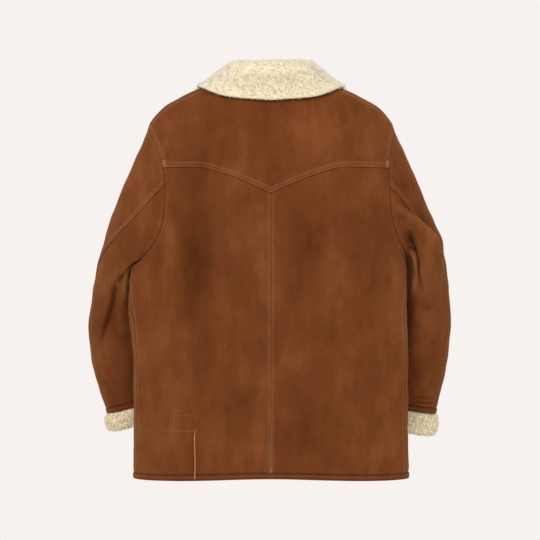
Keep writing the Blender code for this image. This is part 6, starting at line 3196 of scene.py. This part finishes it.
BACK_HOLLOWS = (
    Hollow(0.150, -0.330, 0.040, 0.130, 0.0070),
    Hollow(-0.120, -0.420, 0.045, 0.150, 0.0035),
    Hollow(0.040, -0.620, 0.040, 0.120, 0.0030),
    Hollow(-0.215, -0.360, 0.022, 0.070, 0.0030),
    Hollow(0.225, -0.560, 0.025, 0.120, -0.0030),
    Hollow(-0.030, -0.110, 0.035, 0.050, -0.0025),
)
SLEEVE_ROWS = Table((
    SleeveRow(0.00, 0.2476, -0.0800, 0.2725, -0.3550, 0.085, 0.003),
    SleeveRow(0.10, 0.2720, -0.1233, 0.2860, -0.3720, 0.085, 0.001),
    SleeveRow(0.22, 0.3000, -0.1888, 0.2855, -0.3930, 0.083, -0.004),
    SleeveRow(0.36, 0.3302, -0.2707, 0.2740, -0.4190, 0.079, -0.014),
    SleeveRow(0.48, 0.3520, -0.3443, 0.2660, -0.4440, 0.075, -0.028),
    SleeveRow(0.60, 0.3680, -0.4180, 0.2620, -0.4730, 0.070, -0.044),
    SleeveRow(0.71, 0.3800, -0.4850, 0.2590, -0.5070, 0.065, -0.061),
    SleeveRow(0.82, 0.3770, -0.5570, 0.2580, -0.5500, 0.060, -0.077),
    SleeveRow(0.93, 0.3600, -0.6260, 0.2530, -0.6030, 0.055, -0.092),
    SleeveRow(1.00, 0.3490, -0.6640, 0.2490, -0.6370, 0.052, -0.100),
))
LEFT_ARM = Arm(
    side=Side.LEFT,
    armhole=Armhole(-0.080, -0.355, 92.0, 88.0, 41.0, 38.0, 2.2, 2.9, 84.0),
    shift=Table((ArmShift(0.0, 0.0, 0.0, 0.0), ArmShift(1.0, 0.0, 0.0, 0.0))),
    seams=Table((
        SeamTurn(0.00, 84.0, 224.7),
        SeamTurn(0.14, 81.0, 222.0),
        SeamTurn(0.25, 74.0, 220.0),
        SeamTurn(0.36, 58.0, 217.0),
        SeamTurn(0.46, 32.0, 214.0),
        SeamTurn(0.60, 2.0, 212.0),
        SeamTurn(1.00, -15.0, 208.0),
    )),
    hollows=(
        SleeveHollow(140.0, 0.46, 30.0, 0.11, 0.008),
        SleeveHollow(125.0, 0.62, 32.0, 0.10, 0.012),
        SleeveHollow(115.0, 0.76, 26.0, 0.08, 0.006),
    ),
    fleece_height=0.042,
)
RIGHT_ARM = Arm(
    side=Side.RIGHT,
    armhole=Armhole(-0.080, -0.338, 92.0, 90.0, 32.0, 38.0, 2.2, 2.8, 88.0),
    shift=Table((
        ArmShift(0.00, 0.000, 0.000, 0.017),
        ArmShift(0.25, -0.001, -0.002, 0.010),
        ArmShift(0.45, 0.006, -0.004, 0.003),
        ArmShift(0.62, 0.000, -0.004, 0.000),
        ArmShift(0.80, -0.006, -0.004, -0.003),
        ArmShift(1.00, 0.001, -0.002, -0.009),
    )),
    seams=Table((
        SeamTurn(0.00, 88.0, 224.7),
        SeamTurn(0.14, 80.0, 222.0),
        SeamTurn(0.25, 67.0, 220.0),
        SeamTurn(0.36, 50.0, 217.0),
        SeamTurn(0.46, 29.0, 214.0),
        SeamTurn(0.60, 0.0, 212.0),
        SeamTurn(1.00, -15.0, 208.0),
    )),
    hollows=(SleeveHollow(140.0, 0.30, 24.0, 0.09, 0.009), SleeveHollow(130.0, 0.52, 24.0, 0.10, 0.007)),
    fleece_height=0.051,
)
COLLAR_ROWS = Table((
    CollarRow(0.0, 0.031, 0.010, 0.0, -0.0400),
    CollarRow(30.0, 0.029, 0.010, 24.0, -0.0330),
    CollarRow(45.0, 0.0260, 0.009, 36.0, -0.0235),
    CollarRow(60.0, 0.0190, 0.009, 48.0, -0.0150),
    CollarRow(80.0, 0.013, 0.009, 74.0, -0.0080),
    CollarRow(92.0, 0.012, 0.009, 98.0, -0.0060),
    CollarRow(104.0, 0.012, 0.009, 113.0, -0.0180),
    CollarRow(118.0, 0.013, 0.009, 123.0, -0.0360),
    CollarRow(134.0, 0.013, 0.009, 132.0, -0.0600),
    CollarRow(152.0, 0.013, 0.009, 142.0, -0.0950),
    CollarRow(166.0, 0.012, 0.009, 149.0, -0.1320),
    CollarRow(174.0, 0.012, 0.009, 153.0, -0.1580),
))
# Creases and ridges of the body. Their negative tones are painted shade along the creases and beside the
# mend's welt.
BODY_FOLDS = (
    Fold(
        ((0.276, -0.335), (0.284, -0.380), (0.280, -0.440), (0.274, -0.560)),
        0.030, 0.022, -0.0150, 0.0,
    ),
    Fold(((-0.224, -0.338), (-0.238, -0.340), (-0.252, -0.339)), 0.0035, 0.0035, 0.0014, -0.10),
    Fold(((-0.222, -0.374), (-0.234, -0.388), (-0.240, -0.404)), 0.004, 0.005, 0.0010, -0.06),
    Fold(((-0.116, -0.345), (-0.156, -0.347), (-0.196, -0.345)), 0.003, 0.004, 0.0007, -0.05),
    Fold(((0.1505, -0.680), (0.1507, -0.735), (0.1505, -0.800)), 0.0026, 0.0026, 0.0011, -0.30),
    Fold(((0.062, -0.513), (0.027, -0.514), (-0.008, -0.513)), 0.003, 0.004, 0.0006, -0.04),
    Fold(((0.215, -0.215), (0.178, -0.300), (0.170, -0.420)), 0.010, 0.016, 0.0022, -0.08),
    Fold(((0.120, -0.195), (0.112, -0.290), (0.118, -0.400)), 0.016, 0.010, 0.0014, -0.05),
    Fold(((0.205, -0.300), (0.160, -0.330), (0.105, -0.338)), 0.010, 0.014, 0.0026, -0.06, Face.FRONT),
    Fold(((0.215, -0.355), (0.175, -0.400), (0.130, -0.425)), 0.009, 0.013, 0.0020, -0.05, Face.FRONT),
    Fold(((-0.210, -0.292), (-0.165, -0.322), (-0.118, -0.330)), 0.010, 0.014, 0.0024, -0.06, Face.FRONT),
    Fold(((-0.220, -0.350), (-0.180, -0.392), (-0.140, -0.430)), 0.009, 0.013, 0.0020, -0.05, Face.FRONT),
    Fold(((0.120, -0.180), (0.135, -0.300), (0.130, -0.470)), 0.016, 0.022, 0.0024, -0.04, Face.FRONT),
    Fold(((-0.135, -0.200), (-0.150, -0.360), (-0.140, -0.560)), 0.018, 0.024, 0.0024, -0.04, Face.FRONT),
)
# The left sleeve's fold and creases. Negative tones are painted shade: crisp dark lines at the foot of the
# fold's step, and creases. Positive tones are painted light on the shaded strip below the fold and on a
# ridge.
LEFT_SLEEVE_FOLDS = (
    Fold(
        ((0.264, -0.353), (0.287, -0.372), (0.304, -0.388), (0.3210, -0.407)),
        0.0020, 0.024, 0.0135, 0.00,
    ),
    Fold(
        ((0.3185, -0.398), (0.3225, -0.420), (0.3240, -0.436), (0.338, -0.478), (0.354, -0.532)),
        0.0020, 0.030, 0.0130, 0.00,
    ),
    Fold(
        ((0.264, -0.354), (0.286, -0.374), (0.303, -0.390), (0.3205, -0.409)),
        0.0010, 0.0026, 0.0008, -0.36,
    ),
    Fold(
        ((0.3180, -0.400), (0.3215, -0.420), (0.3230, -0.436), (0.337, -0.478), (0.353, -0.532)),
        0.0010, 0.0030, 0.0008, -0.36,
    ),
    Fold(
        ((0.288, -0.372), (0.2915, -0.390), (0.2915, -0.410), (0.289, -0.440)),
        0.007, 0.007, -0.0010, 0.45,
    ),
    Fold(((0.300, -0.372), (0.328, -0.402), (0.336, -0.440)), 0.010, 0.007, -0.0022, 0.06),
    Fold(((0.3566, -0.612), (0.345, -0.608), (0.3337, -0.605)), 0.0024, 0.0036, 0.0028, -0.22),
    Fold(((0.285, -0.395), (0.315, -0.430), (0.352, -0.445)), 0.006, 0.012, 0.0050, -0.08, Face.FRONT),
    Fold(((0.285, -0.440), (0.320, -0.465), (0.360, -0.470)), 0.006, 0.010, 0.0042, -0.08, Face.FRONT),
    Fold(((0.290, -0.490), (0.325, -0.502), (0.362, -0.498)), 0.005, 0.009, 0.0030, -0.06, Face.FRONT),
)
# The right sleeve's folds. Negative tones are painted shade in the creases, the pocket fold and the slit;
# positive tones are painted light on the ridge and on the shaded side by the body.
RIGHT_SLEEVE_FOLDS = (
    Fold(((-0.334, -0.288), (-0.339, -0.306)), 0.032, 0.032, -0.0080, 0.0, around=True),
    Fold(
        (
            (-0.240, -0.237), (-0.266, -0.251), (-0.293, -0.268),
            (-0.319, -0.293), (-0.340, -0.323), (-0.353, -0.365),
        ),
        0.0030, 0.024, 0.0105, -0.26,
    ),
    Fold(
        (
            (-0.236, -0.233), (-0.262, -0.247), (-0.288, -0.2635),
            (-0.3135, -0.288), (-0.334, -0.316), (-0.346, -0.359),
        ),
        0.014, 0.0035, -0.0085, 0.24,
    ),
    Fold(
        (
            (-0.276, -0.292), (-0.285, -0.313), (-0.293, -0.335),
            (-0.297, -0.362), (-0.298, -0.385), (-0.308, -0.424),
        ),
        0.015, 0.0026, 0.0150, -0.22,
    ),
    Fold(
        (
            (-0.274, -0.289), (-0.284, -0.313), (-0.292, -0.335),
            (-0.296, -0.362), (-0.297, -0.385), (-0.307, -0.424),
        ),
        0.0030, 0.0012, 0.0010, -0.34,
    ),
    Fold(
        ((-0.281, -0.330), (-0.2865, -0.360), (-0.2865, -0.395), (-0.283, -0.450)),
        0.008, 0.008, -0.0010, 0.50,
    ),
    Fold(((-0.272, -0.333), (-0.282, -0.334), (-0.294, -0.337)), 0.0022, 0.003, 0.0060, -0.28),
    Fold(((-0.284, -0.638), (-0.312, -0.639), (-0.345, -0.642)), 0.0018, 0.0026, 0.0018, -0.30),
    Fold(((-0.284, -0.648), (-0.312, -0.649), (-0.345, -0.652)), 0.0018, 0.0026, 0.0026, -0.36),
    Fold(((-0.240, -0.268), (-0.262, -0.270), (-0.280, -0.280)), 0.004, 0.007, 0.0016, -0.10),
    Fold(((-0.312, -0.585), (-0.332, -0.581), (-0.346, -0.583)), 0.003, 0.004, 0.0012, -0.06),
    Fold(((-0.285, -0.395), (-0.318, -0.428), (-0.352, -0.440)), 0.006, 0.012, 0.0050, -0.08, Face.FRONT),
    Fold(((-0.285, -0.445), (-0.320, -0.468), (-0.360, -0.475)), 0.006, 0.010, 0.0042, -0.08, Face.FRONT),
    Fold(((-0.292, -0.495), (-0.325, -0.506), (-0.362, -0.500)), 0.005, 0.009, 0.0030, -0.06, Face.FRONT),
)
# Patches of the body: painted shade in the back's broad hollow and on the fronts, painted light on the yoke
# and the lower sides, and more patches painted darker or lighter.
BODY_SHADES = (
    Shade(0.150, -0.340, 0.036, 0.150, -0.34),
    Shade(-0.048, -0.330, 0.035, 0.050, -0.14),
    Shade(-0.190, -0.418, 0.030, 0.045, -0.12),
    Shade(-0.190, -0.555, 0.030, 0.040, -0.10),
    Shade(-0.124, -0.588, 0.025, 0.035, -0.08),
    Shade(-0.046, -0.097, 0.045, 0.040, 0.16),
    Shade(0.018, -0.720, 0.022, 0.050, 0.14),
    Shade(0.245, -0.560, 0.022, 0.260, 0.10),
    Shade(-0.115, -0.100, 0.060, 0.045, 0.10),
    Shade(-0.250, -0.560, 0.020, 0.260, 0.10),
    Shade(0.205, -0.300, 0.014, 0.120, 0.14),
    Shade(0.150, -0.360, 0.045, 0.160, -0.16, Face.FRONT),
    Shade(-0.150, -0.420, 0.045, 0.160, -0.14, Face.FRONT),
)
# Patches of the sleeves: painted light on their shaded inner sides, painted shade in the right pocket fold,
# two small dark smudges on the right sleeve, and more patches darker or lighter.
SLEEVE_SHADES = (
    Shade(0.295, -0.520, 0.030, 0.110, 0.10),
    Shade(0.322, -0.475, 0.008, 0.040, -0.12),
    Shade(-0.300, -0.530, 0.026, 0.100, 0.12),
    Shade(-0.277, -0.308, 0.012, 0.020, -0.26),
    Shade(-0.3163, -0.4474, 0.009, 0.009, -0.26),
    Shade(-0.3349, -0.5218, 0.005, 0.006, -0.30),
    Shade(-0.268, -0.205, 0.030, 0.018, -0.20),
    Shade(-0.315, -0.345, 0.010, 0.060, 0.16),
    Shade(0.262, -0.270, 0.022, 0.050, 0.08),
)
CUTS = {
    "back_left": Cut(0.305, 0.620, 0.162),
    "back_right": Cut(0.310, 0.620, 0.167),
    "back_yoke": Cut(0.540, 0.235, 0.092),
    "front_left": Cut(0.430, 0.820, 0.274),
    "front_right": Cut(0.430, 0.820, 0.274),
    "sleeve_upper_left": Cut(0.240, 0.620, 0.105),
    "sleeve_upper_right": Cut(0.235, 0.620, 0.101),
    "sleeve_under_left": Cut(0.185, 0.560, 0.078),
    "sleeve_under_right": Cut(0.190, 0.560, 0.080),
    "cuff_band": Cut(0.320, 0.0185, 0.0059),
    "cuff_fleece_left": Cut(0.330, 0.052, 0.0165),
    "cuff_fleece_right": Cut(0.330, 0.060, 0.0190),
    "hem_band_back": Cut(0.560, 0.0185, 0.0103),
    "hem_band_left": Cut(0.410, 0.0185, 0.0075),
    "hem_band_right": Cut(0.410, 0.0185, 0.0075),
    "collar": Cut(0.760, 0.150, 0.097),
}


def main() -> None:
    """Builds the coat piece by piece, and its studio."""
    logging.basicConfig(level=logging.INFO, format="%(name)s: %(message)s")
    cloakroom = Cloakroom()
    Studio().build()
    form = BodyForm(BODY_RINGS, NECKLINE, BACK_HOLLOWS)
    pattern = Pattern(form, LEFT_ARM, RIGHT_ARM)
    body = Body(pattern, BODY_FOLDS, BODY_SHADES, CUTS)
    body.build(cloakroom)
    for arm, folds in ((LEFT_ARM, LEFT_SLEEVE_FOLDS), (RIGHT_ARM, RIGHT_SLEEVE_FOLDS)):
        sleeve_form = SleeveForm(form, SLEEVE_ROWS, arm)
        Sleeve(sleeve_form, pattern, folds, SLEEVE_SHADES, CUTS).build(cloakroom)
        Cuff(sleeve_form, CUTS).build(cloakroom)
    Hem(pattern, CUTS).build(cloakroom)
    Collar(pattern, COLLAR_ROWS, CUTS).build(cloakroom)
    Buttons(form, body.panels["front_left"]).build(cloakroom)
    Mend(form, body.panels["back_left"]).build(cloakroom)


if __name__ == "__main__":
    main()
